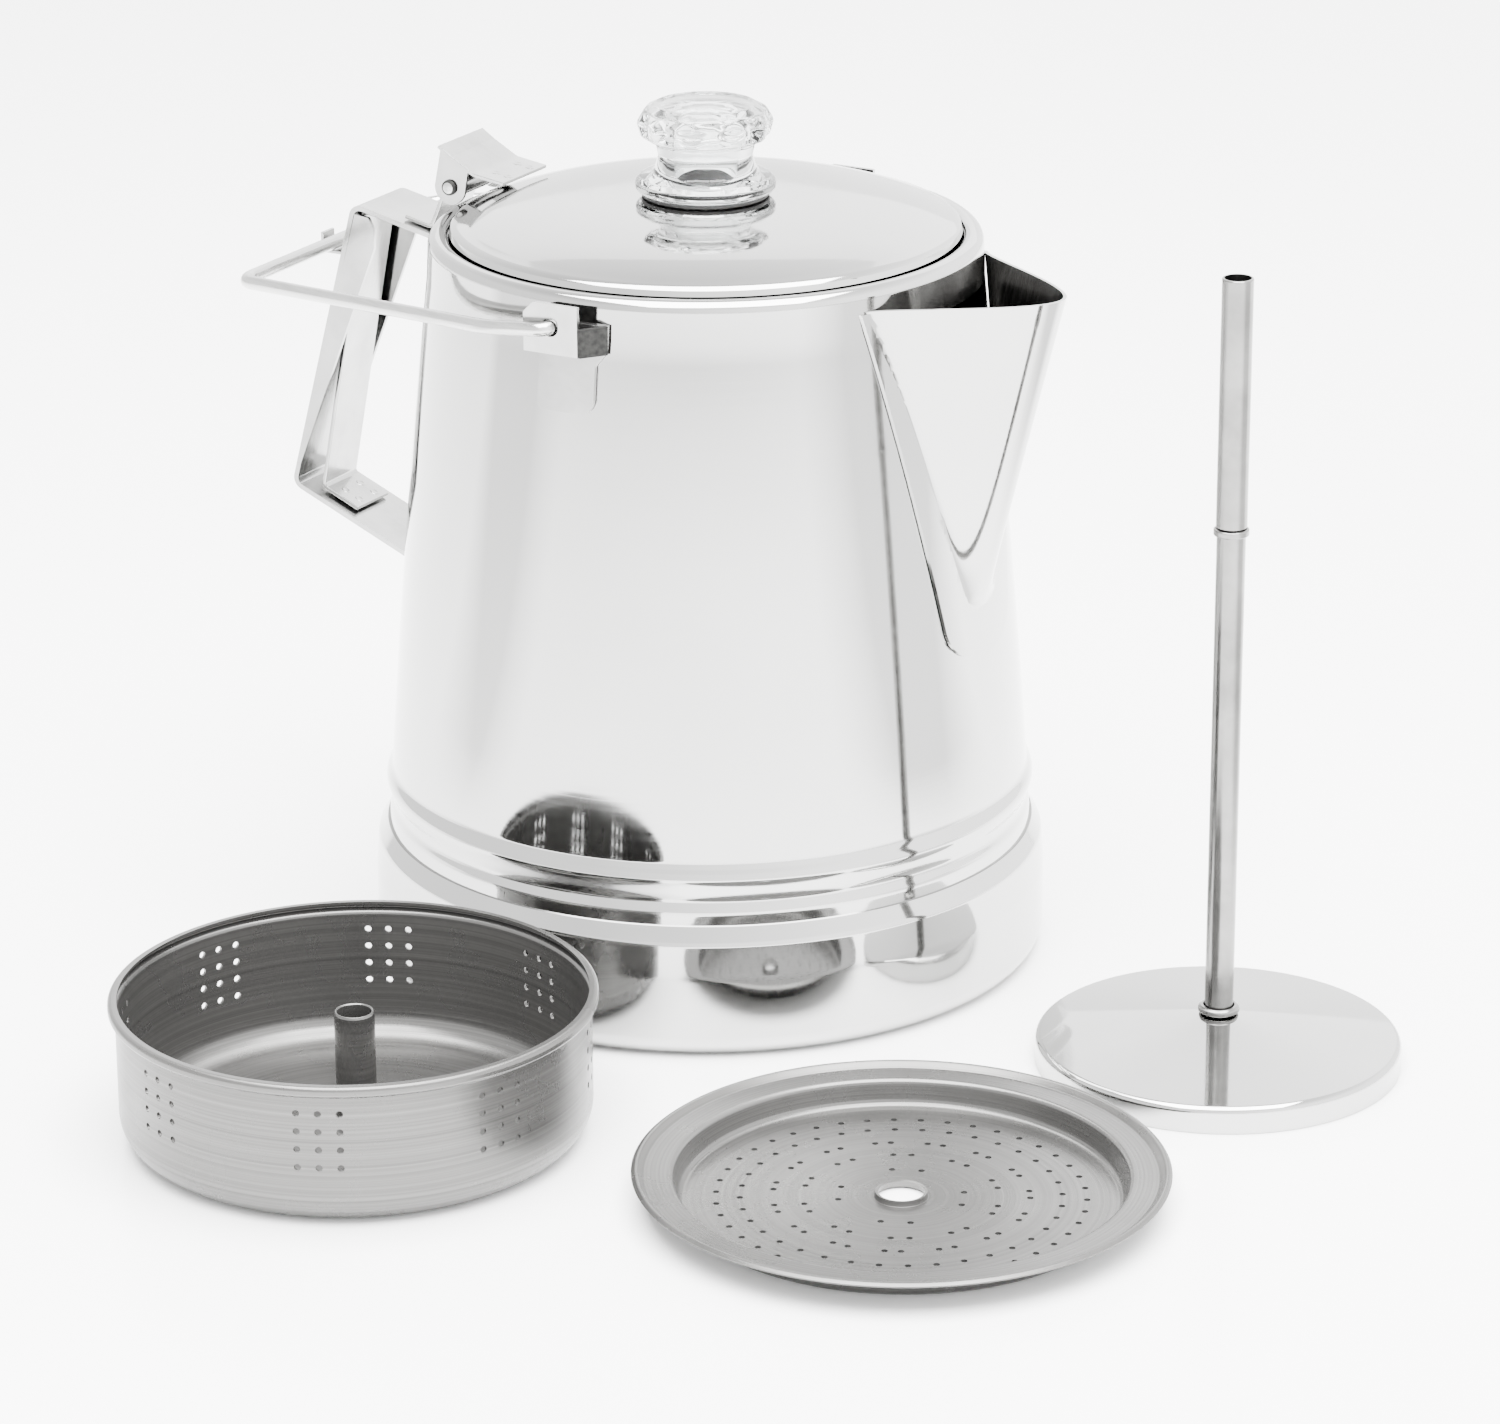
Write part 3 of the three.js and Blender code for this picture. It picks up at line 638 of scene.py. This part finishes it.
def spout():
    """The spout and its flange, hollowed, with a rougher throat whose darker steel is painted shade inside
    the mouth.
    """
    form = spout_solid("spout_sheet", 0, SPOUT_BOTTOM - 3, SPOUT_TOP, 50)
    cut(form, [spout_flange()], "UNION")
    second_steel(form, TUBE_STEEL)
    throat = spout_solid("throat", SHEET, SPOUT_BOTTOM + 2, SPOUT_TOP + 4, 45)
    # The throat's darker tube steel is painted shade inside the spout.
    cut(form, [paint_shade(throat, steel=TUBE_STEEL)])
    cut(form, [body_core("spout_seat", 0.3, 40)])
    return stand_in(form, "pot", "polished_steel", "spout")


# ------------------------------------------------------------------ bail and ears

def bail_ear(side):
    """Sheet ear with a pierced front plate, a slanted web and a weld tab on the body; the hole's wall, the
    web and the faces turned to the body carry painted shade.
    """
    name = "near" if side < 0 else "far"
    low, top = BAIL_HEIGHT - 7.5, BAIL_HEIGHT + 6.5
    leaf_top, leaf_bottom = BAIL_HEIGHT + 0.4, BAIL_HEIGHT - 24.5
    plate = bend([
        (-8.4, low), (8.6, low), (8.6, top), (-5.4, top, 1), (-8.4, top - 3, 1), (-8.4, low),
    ], 4)[1:]
    outside, behind = side * EAR_FACE, side * (EAR_FACE - STRIP)
    front = extrude_across(f"ear_plate_{name}", plate, outside, behind, STRIP_STEEL)
    second_steel(front)
    hole = rod("ear_hole", (0, side * 70, BAIL_HEIGHT), (0, side * 95, BAIL_HEIGHT), EAR_HOLE, STRIP_STEEL)
    # The hole's wall is painted dark, as shade inside the hole.
    cut(front, [paint_shade(hole)])
    inner = EAR_FACE - 6.6
    corners = [(8.0, EAR_FACE), (9.6, EAR_FACE), (14.4, inner), (13.2, inner - 1)]
    foot, head = ([(x, side * y, z) for x, y in corners] for z in (low, leaf_top))
    # The web is painted near black, as the dark reflection it shows.
    web = paint_shade(prism("ear_web", foot, head, STRIP_STEEL))
    leaf = bend([
        (-6.5, leaf_top), (-6.5, leaf_bottom, 2.5), (11, leaf_bottom, 4),
        (11, low - 3.5, 1), (14, low + 0.5, 1), (14, leaf_top),
    ], 8)
    back = extrude_across("ear_leaf", leaf, side * 60, side * (EAR_FACE + 2), STRIP_STEEL)
    cut(back, [body_core("ear_skin", 1.5)], "INTERSECT")
    cut(front, [web, back], "UNION")
    cut(front, [body_core("ear_seat", 0.3)])
    round_edges(front, 0.2)
    # Faces turned towards the body are painted dark, as the shade behind the ear.
    paint_shade(front, lambda face: face.normal.y * side < -0.3)
    front.name = f"bail_ear_{name}_sheet"
    stand_in(front, "pot", "polished_steel", f"bail_ear_{name}")


def bail():
    """One piece of round wire: hooked ends, two tapering arms and a crossbar."""
    arm = EAR_FACE + BAIL_WIRE + 0.6
    reach = -edge("bail_wire", LOW, "x") - BAIL_WIRE
    rest = edge("bail_wire", LOW, "z") + BAIL_WIRE
    half_width = 50.8
    straight = 18
    drop = (BAIL_HEIGHT - rest) * straight / reach
    half = [
        (Vector((0, -EAR_FACE + 3.6, BAIL_HEIGHT)), 0),
        (Vector((0, -arm, BAIL_HEIGHT)), 3.2),
        (Vector((-straight, -arm, BAIL_HEIGHT - drop)), 6),
        (Vector((-reach, -half_width, rest)), 6),
    ]
    corners = half + [(Vector((p.x, -p.y, p.z)), r) for p, r in half[::-1]]
    path = [corners[0][0]]
    for (before, _), (corner, radius), (after, _) in zip(corners, corners[1:], corners[2:]):
        start = corner + (before - corner).normalized() * radius
        end = corner + (after - corner).normalized() * radius
        for k in range(ARC_STEPS + 1):
            t = k / ARC_STEPS
            path.append(start * (1 - t) ** 2 + corner * 2 * t * (1 - t) + end * t * t)
    path.append(corners[-1][0])
    curve = bpy.data.curves.new("bail_path", "CURVE")
    curve.dimensions = "3D"
    curve.bevel_depth = BAIL_WIRE * MM
    curve.bevel_resolution = 8
    curve.use_fill_caps = True
    line = curve.splines.new("POLY")
    line.points.add(len(path) - 1)
    for point, place in zip(line.points, path):
        point.co = (*(place * MM), 1)
    guide = bpy.data.objects.new("bail_guide", curve)
    bpy.context.scene.collection.objects.link(guide)
    bpy.context.view_layer.update()
    mesh = bpy.data.meshes.new_from_object(guide.evaluated_get(bpy.context.evaluated_depsgraph_get()))
    bpy.data.objects.remove(guide)
    wire = bpy.data.objects.new("bail_wire_bent", mesh)
    bpy.context.scene.collection.objects.link(wire)
    mesh.materials.clear()
    mesh.materials.append(WIRE)
    tidy_normals(wire, 50)
    stand_in(wire, "bail", "drawn_wire", "bail_wire")


# ------------------------------------------------------------------ handle

def handle():
    """The strap with its folded edges, the brace behind it and the brace's four welds."""
    top_x, top_z = HANDLE_TOP
    low_x, low_z = HANDLE_BOTTOM
    root = [(-body_radius(z) - 0.6, z) for z in (202.2, 102)]
    half = 12
    path = bend([root[0], (top_x, top_z, 3), (low_x, low_z, 3), root[1]])
    strap = extrude_across("strap_sheet", sheet_outline(path, 1.5), -half, half, STRIP_STEEL)
    flange = [
        (top_x + 0.3, top_z - 2.5), (low_x + 0.9, low_z + 3), (low_x + 1.9, low_z + 5),
        (top_x + 6.8, top_z - 12), (top_x + 6.6, top_z - 6), (top_x + 5, top_z - 3),
    ]
    sides = [extrude_across("strap_edge", flange, y, y + STRIP, STRIP_STEEL) for y in (-half, half - STRIP)]
    cut(strap, sides, "UNION")
    stand_in(round_edges(strap, 0.3), "pot", "polished_steel", "handle_strap")
    brace = strip("brace_sheet", [
        (top_x + 10.2, top_z - 4.2), (top_x + 1, top_z - 2.2, 2),
        (low_x + 7.9, low_z - 1, 2), (low_x + 19.9, low_z - 6.2),
    ], STRIP, 17)
    stand_in(brace, "pot", "polished_steel", "handle_brace")
    foot = Vector((12, 0, -5.2)).normalized()
    lift = Vector((5.2, 0, 12)).normalized()
    middle = Vector((low_x + 15.2, 0, low_z - 4.2)) + lift * 0.62
    spots = [middle + foot * x + Vector((0, y, 0)) for x in (-2.6, 2.6) for y in (-4, 4)]
    weld_marks("brace_welds", spots, lift, "pot", 1.5)


def bail_rest():
    """The hooked tongue on the strap that the lowered bail lies in."""
    seat = edge("bail_wire", LOW, "z") - 0.9
    tip = edge("bail_wire", LOW, "x") - 1.7
    slope = (HANDLE_BOTTOM[0] - HANDLE_TOP[0]) / (HANDLE_BOTTOM[1] - HANDLE_TOP[1])

    def standing(z):
        """X of the tongue's foot, on the outside of the strap, at a height."""
        return HANDLE_TOP[0] + (z - HANDLE_TOP[1]) * slope - 1.7

    hook = strip("bail_rest_tongue", [
        (standing(seat - 7.9), seat - 7.9), (standing(seat), seat, 0.8), (tip, seat, 1.2), (tip, seat + 5.6),
    ], 1, 6)
    stand_in(hook, "pot", "polished_steel", "bail_rest")


# ------------------------------------------------------------------ lid and hinge

def knuckle():
    """The leaf on the strap's top, with the eye that the hinge pin runs in."""
    width = 19
    leaf = strip("knuckle_sheet", [
        (PIN_X - 17.2, PIN_Z - 11.4), (PIN_X - 8.4, PIN_Z - 13.4, 1.5), (PIN_X - 3.3, PIN_Z - 1.6),
    ], STRIP, width)
    eye = rod("eye", (PIN_X, -width / 2, PIN_Z), (PIN_X, width / 2, PIN_Z), 3.5, STRIP_STEEL)
    cut(leaf, [eye], "UNION")
    cut(leaf, [rod("bore", (PIN_X, -20, PIN_Z), (PIN_X, 20, PIN_Z), PIN_BORE, STRIP_STEEL)])
    stand_in(leaf, "pot", "polished_steel", "hinge_knuckle")


def pin():
    """The riveted hinge pin, turned upright and then laid across."""
    half = 13.2
    profile = [(0, 0), (1.6, 0), (2.2, 0.3), (2.3, 0.9), (1.5, 0.9)]
    outline = [(r, z - half) for r, z in profile] + [(r, half - z) for r, z in profile[::-1]]
    made = revolve("hinge_rivet", outline, WIRE, turn=48)
    # The rivet heads' rims and undersides are painted dark, as shade round the pin.
    paint_shade(made, lambda face: face.center.xy.length > 1.5 * MM)
    made.data.transform(Matrix.Rotation(math.pi / 2, 4, "X"))
    made.data.transform(Matrix.Translation(Vector((PIN_X, 0, PIN_Z)) * MM))
    stand_in(made, "pot", "drawn_wire", "hinge_pin")


def lid_top(r):
    """Height of the lid's domed top at a radius."""
    return LID_EDGE + DOME * (1 - (r / (LID_RADIUS - 1.3)) ** 4)


def lid():
    """The domed cover with its turned-down edge, the knob's hole and the slots for the knob's lugs."""
    skirt = LID_RADIUS - 0.9
    path = [Vector((r, lid_top(r) - SHEET / 2)) for r in range(12, int(skirt) - 1, 2)]
    turned_down = [(-0.9, -0.1), (-0.2, -0.8), (0, -1.7), (0.2, -2.3)]
    path += [Vector((skirt + out, LID_EDGE + up)) for out, up in turned_down]
    cover = revolve("lid_dome", sheet_outline(path, SHEET), POLISHED)
    slot_corners = [(-5.5, LID_EDGE - 3), (5.5, LID_EDGE - 3), (5.5, LID_TOP + 4), (-5.5, LID_TOP + 4)]
    cut(cover, [extrude_across("lug_slots", slot_corners, -14, 14, POLISHED)])
    stand_in(cover, "lid", "polished_steel", "lid_cover")


def lid_bracket():
    """The lid's half of the hinge: a plate with a raised thumb edge and two ears round the pin; the bore's
    wall and the plate's underside carry painted shade.
    """
    half = 12
    x, z = PIN_X, PIN_Z
    path = bend([(x - 3.8, z + 11.6), (x + 0.4, z + 8.8, 1.5), (x + 8, z + 4.5, 6), (x + 18, z + 3)])
    plate = extrude_across("lid_bracket_sheet", sheet_outline(path, 1), -half, half, STRIP_STEEL)
    ear_radius, steps = 5.2, 24
    under = [(x + ear_radius * math.cos(math.pi * k / steps), z - ear_radius * math.sin(math.pi * k / steps))
             for k in range(steps + 1)]
    outline = [(x - 3, z + 10.8), (x + 0.4, z + 8.6), (x + 6.2, z + 5.4), *under]
    ears = [extrude_across("bracket_ear", outline, y, y + 1, STRIP_STEEL) for y in (-half, half - 1)]
    cut(plate, ears, "UNION")
    second_steel(plate)
    # The bore's wall is painted dark, as shade inside it.
    cut(plate, [paint_shade(rod("bracket_bore", (x, -20, z), (x, 20, z), PIN_BORE, STRIP_STEEL))])
    round_edges(plate, 0.2)
    # Downward faces above the pin are painted dark, as the shadow under the plate.
    paint_shade(plate, lambda face: face.normal.z < -0.5 and face.center.z > (z + 2) * MM)
    stand_in(plate, "lid", "polished_steel", "lid_bracket")
    along = Vector((10, 0, -1.5)).normalized()
    up = Vector((1.5, 0, 10)).normalized()
    middle = Vector((x + 14, 0, z + 3.6)) + up * 0.5
    spots = [middle + along * a + Vector((0, y, 0)) for a in (-2, 2) for y in (-6, 6)]
    weld_marks("bracket_welds", spots, up, "lid", 1.4)


def seal():
    """The ring of silicone between the lid and the knob."""
    low, top = KNOB_BASE - 1.5, KNOB_BASE - 0.3
    outline = bend([(14.6, low), (18.0, low, 0.3), (18.4, top, 0.4), (14.6, top)], 4)
    stand_in(revolve("knob_gasket", outline, SEAL, turn=128), "lid", "black_seal", "knob_seal")


def knob():
    """The hollow glass knob, with a scalloped cap."""
    base, foot = KNOB_BASE, KNOB_BASE - 9.4
    outside = bend([
        (9.4, foot), (11, foot), (11, base), (19.2, base, 0.6), (19.9, base + 0.9, 0.6),
        (19.9, base + 2.8, 1), (18.4, base + 4.2, 1.5), (14.6, base + 5.4, 2), (13.3, base + 10, 4),
        (14.4, base + 14.2, 2), (18.0, base + 15.6, 1.4), (18.8, base + 19.6, 3), (17.2, base + 23.2, 1.6),
        (14.2, base + 24.7, 0.8), (12.6, base + 24.2, 0.8), (0, base + 24.6),
    ], 5)
    inside = bend([(0, base + 18.6), (5.5, base + 18.4), (9.2, base + 17.2, 2), (9.4, base + 12)], 5)

    def scallop(angle, z):
        """How much wider than round the cap is at an angle and a height."""
        low, high = base + 14, base + 24.2
        if not low < z < high:
            return 1
        return 1 + 0.035 * math.sin(math.pi * (z - low) / (high - low)) * math.cos(10 * angle)

    glass = revolve("knob_glass", list(outside) + inside, GLASS, turn=240, grow=scallop, sharp=50)
    stand_in(glass, "knob", "clear_glass", "glass_knob")


# ------------------------------------------------------------------ coffee insert

def hole_rods(rods, radius, place):
    """Rods that cut all the holes of a sheet at once."""
    holes = joined("holes", [rod("hole", start, end, radius, SATIN, 16) for start, end in rods])
    holes.location = Vector((*place, 0)) * MM
    return holes


def basket():
    """The cup with eight groups of twelve holes, and its sleeve."""
    place = centre("basket_cup")
    wall, height = 63.8, edge("basket_cup", HIGH, "z")
    cup = revolved_sheet("basket_pressing", [
        (6.3, 0.4), (wall, 0.4, 9), (wall, height - 3.4, 1), (wall + 1.9, height - 2.4, 0.7),
        (wall + 1.9, height - 0.5, 0.9), (wall - 0.2, height - 0.5),
    ], 0.8, SATIN, place)
    rods = []
    for group in range(8):
        for column in (-1, 0, 1):
            angle = math.radians(24.4 + 45 * group) + column * 5.7 / wall
            out = Vector((math.cos(angle), math.sin(angle), 0))
            for row in range(4):
                level = Vector((0, 0, 17.5 + 5.1 * row))
                rods.append((out * (wall - 3) + level, out * (wall + 3) + level))
    cut(cup, [hole_rods(rods, 0.95, place)])
    stand_in(cup, "basket", "satin_steel", "basket_cup")
    outline = bend([
        (4.7, 0.2), (5.5, 0.2), (5.5, 1.2), (9, 1.2, 0.2), (9, 2, 0.3), (5.5, 2.2, 0.5),
        (5.5, 34.2, 0.4), (5.1, 35, 0.2), (4.7, 34.6),
    ], 4)
    tube = revolve("basket_sleeve", outline, SATIN, place, SMALL_TURN)
    stand_in(tube, "basket", "satin_steel", "basket_tube")


def spreader():
    """The dished plate with its rings of holes, whose walls carry painted shade."""
    place = centre("spreader_plate")
    rim = radius_of("spreader_plate") - 0.9
    plate = revolved_sheet("spreader_pressing", [
        (6.5, 2.2), (6.9, 0.4, 0.5), (rim - 11.4, 0.4, 2.5), (rim - 10.1, 7.4, 1.2),
        (rim - 2.6, 7.5, 0.8), (rim - 0.6, 9.2, 0.8), (rim + 0.4, 8.4),
    ], 0.8, SATIN, place)
    # Each ring's radius, its count of holes and how far they draw together in pairs.
    rings = [(49, 42, 0), (42.6, 36, 0), (34, 30, 0.2), (26.1, 20, 0.2), (16.8, 8, 0.2)]
    rods = []
    for radius, count, pairing in rings:
        for i in range(count):
            angle = (i + (-pairing if i % 2 else pairing)) * 2 * math.pi / count
            spot = Vector((radius * math.cos(angle), radius * math.sin(angle), 0))
            rods.append((spot + Vector((0, 0, -2)), spot + Vector((0, 0, 3))))
    holes = hole_rods(rods, 0.9, place)
    second_steel(plate)
    holes.data.materials.append(SATIN)
    # The holes' walls are painted dark, as shade in the holes.
    cut(plate, [paint_shade(holes)])
    stand_in(plate, "spreader", "satin_steel", "spreader_plate")


def pump():
    """The disc with its stem: collar, lower tube, stop ring and upper tube."""
    place = centre("pump_base")
    wall = radius_of("pump_base") - 0.4
    disc = revolved_sheet("pump_disc", [(wall, 0), (wall, 7, 1.6), (5.1, 14)], 0.8, POLISHED, place)
    stand_in(disc, "pump", "polished_steel", "pump_base")
    stop = edge("pump_stop_ring", HIGH, "z") - 0.5
    top = edge("pump_upper_tube", HIGH, "z")
    pieces = {
        "pump_collar": ("collar_ring", bend(
            [(4.4, 14.9), (5.8, 14.9, 0.4), (5.8, 16.3, 0.5), (5.0, 16.8, 0.3), (4.4, 16.8)], 4)),
        "pump_lower_tube": ("lower_stem", [(3.4, 2), (4.0, 2), (4.0, stop + 0.6), (3.4, stop + 0.6)]),
        "pump_stop_ring": ("stop_bead", bend(
            [(4.35, stop - 1.5), (4.9, stop - 1.3, 0.4), (4.9, stop + 0.3, 0.4), (4.35, stop + 0.5)], 4)),
        "pump_upper_tube": ("upper_stem", bend([
            (3.7, stop + 0.9), (4.3, stop + 0.9, 0.2), (4.3, top - 0.3, 0.2), (4.1, top, 0.1), (3.7, top),
        ], 4)),
    }
    for node, (name, outline) in pieces.items():
        stand_in(revolve(name, outline, TUBE_STEEL, place, SMALL_TURN), "pump", "polished_steel", node)


# ------------------------------------------------------------------ studio

CAMERA_PLACE = Vector((0.7547, -1.3239, 0.6195))
CAMERA_AIM = Vector((0.0198, -0.0111, 0.0750))
CAMERA_ROLL = math.radians(0.254)
SENSOR_WIDTH = 36  # millimetres
LENS = 133.2  # millimetres
VIEW_TURN = math.radians(29)  # how far round from -Y the camera stands, and the bright lane points
WORLD_STRENGTH = 4.2


def lane_axes(nodes, links, vector):
    """A vector's X, Y and Z in the studio's own axes, which are turned so that Y runs along the lane."""
    turned = nodes.new("ShaderNodeMapping")
    turned.inputs["Rotation"].default_value = (0, 0, -VIEW_TURN)
    links.new(vector, turned.inputs["Vector"])
    split = nodes.new("ShaderNodeSeparateXYZ")
    links.new(turned.outputs["Vector"], split.inputs["Vector"])
    return split.outputs


def grey(nodes, links, value):
    """A neutral colour of a computed brightness."""
    colour = nodes.new("ShaderNodeCombineColor")
    for channel in ("Red", "Green", "Blue"):
        links.new(value, colour.inputs[channel])
    return colour.outputs["Color"]


def studio_floor():
    """A white glossy floor with painted shade: brightest in a lane fixed in the studio, its colour darkened
    to the sides so that the metal reflects darker bands.
    """
    material, nodes, links, shader = node_setup("studio_white")
    across, along, _ = lane_axes(nodes, links, object_place(nodes))
    ahead = combined(nodes, links, "SUBTRACT", 0.12, along)
    fan = combined(nodes, links, "DIVIDE", across, ahead)
    right_shade, left_shade = 0.6, 0.45
    right = combined(nodes, links, "MULTIPLY", spread(nodes, links, fan, 0.0, right_shade, 0.7, 1.3),
                     spread(nodes, links, across, 0.0, 1.0, 0.26, 0.36))
    left = combined(nodes, links, "MULTIPLY", spread(nodes, links, fan, left_shade, 0.0, -2.1, -1.3),
                    spread(nodes, links, across, 1.0, 0.0, -0.38, -0.27))
    front = spread(nodes, links, along, 1.0, 0.0, -0.04, 0.09)
    # Painted shade: the floor's colour is darkened to both sides of the lane.
    shade = combined(nodes, links, "MULTIPLY", combined(nodes, links, "ADD", right, left), front)
    lane = combined(nodes, links, "SUBTRACT", 1.0, shade)
    links.new(grey(nodes, links, lane), shader.inputs["Base Color"])
    shader.inputs["Roughness"].default_value = 0.22
    shader.inputs["Specular IOR Level"].default_value = 0.5
    reach = 8000
    corners = [(-reach, -reach, 0), (reach, -reach, 0), (reach, reach, 0), (-reach, reach, 0)]
    floor = piece("studio_floor", corners, [(0, 1, 2, 3)], material, (0, 0, -0.15))


def soft_light(name, place, aim, size, power):
    """An area light of a size in metres and a power in watts, aimed at a point."""
    data = bpy.data.lights.new(name, "AREA")
    data.shape = "RECTANGLE"
    data.size, data.size_y = size
    data.energy = power
    light = bpy.data.objects.new(name, data)
    light.location = place
    light.rotation_euler = (Vector(aim) - Vector(place)).to_track_quat("-Z", "Y").to_euler()
    bpy.context.scene.collection.objects.link(light)


def studio_world():
    """Plain white surroundings, dimmer overhead and on one side."""
    world = bpy.data.worlds.new("studio")
    world.use_nodes = True
    nodes, links = world.node_tree.nodes, world.node_tree.links
    background = nodes["Background"]
    direction = nodes.new("ShaderNodeTexCoord").outputs["Generated"]
    across, _, up = lane_axes(nodes, links, direction)
    height = spread(nodes, links, up, 1.0, 0.45, 0.5, 1.0)
    side = spread(nodes, links, across, 0.7, 1.3, -0.6, 0.6)
    product = combined(nodes, links, "MULTIPLY", height, side)
    links.new(grey(nodes, links, product), background.inputs["Color"])
    background.inputs["Strength"].default_value = WORLD_STRENGTH
    bpy.context.scene.world = world


def camera():
    """The camera at the photograph's viewing angle."""
    data = bpy.data.cameras.new("camera")
    data.lens = LENS
    data.sensor_width = SENSOR_WIDTH
    data.clip_end = 30
    view = bpy.data.objects.new("camera", data)
    turned = (CAMERA_AIM - CAMERA_PLACE).to_track_quat("-Z", "Y").to_matrix()
    view.matrix_world = Matrix.Translation(CAMERA_PLACE) @ (
        turned @ Matrix.Rotation(-CAMERA_ROLL, 3, "Z")).to_4x4()
    bpy.context.scene.collection.objects.link(view)
    bpy.context.scene.camera = view


# ------------------------------------------------------------------ build

camera()
studio_world()
studio_floor()
soft_light("overhead", place=(0.3, -0.4, 2.2), aim=(0.05, -0.1, 0), size=(2.4, 2.4), power=480)
soft_light("behind", place=(-0.9, 1.9, 1.3), aim=(0, 0, 0.1), size=(1.8, 1.2), power=10)

pot_shell()
pot_pan()
spout()
bail_ear(-1)
bail_ear(1)
bail()
handle()
bail_rest()
knuckle()
pin()
lid()
lid_bracket()
seal()
knob()
basket()
spreader()
pump()

bpy.context.view_layer.update()
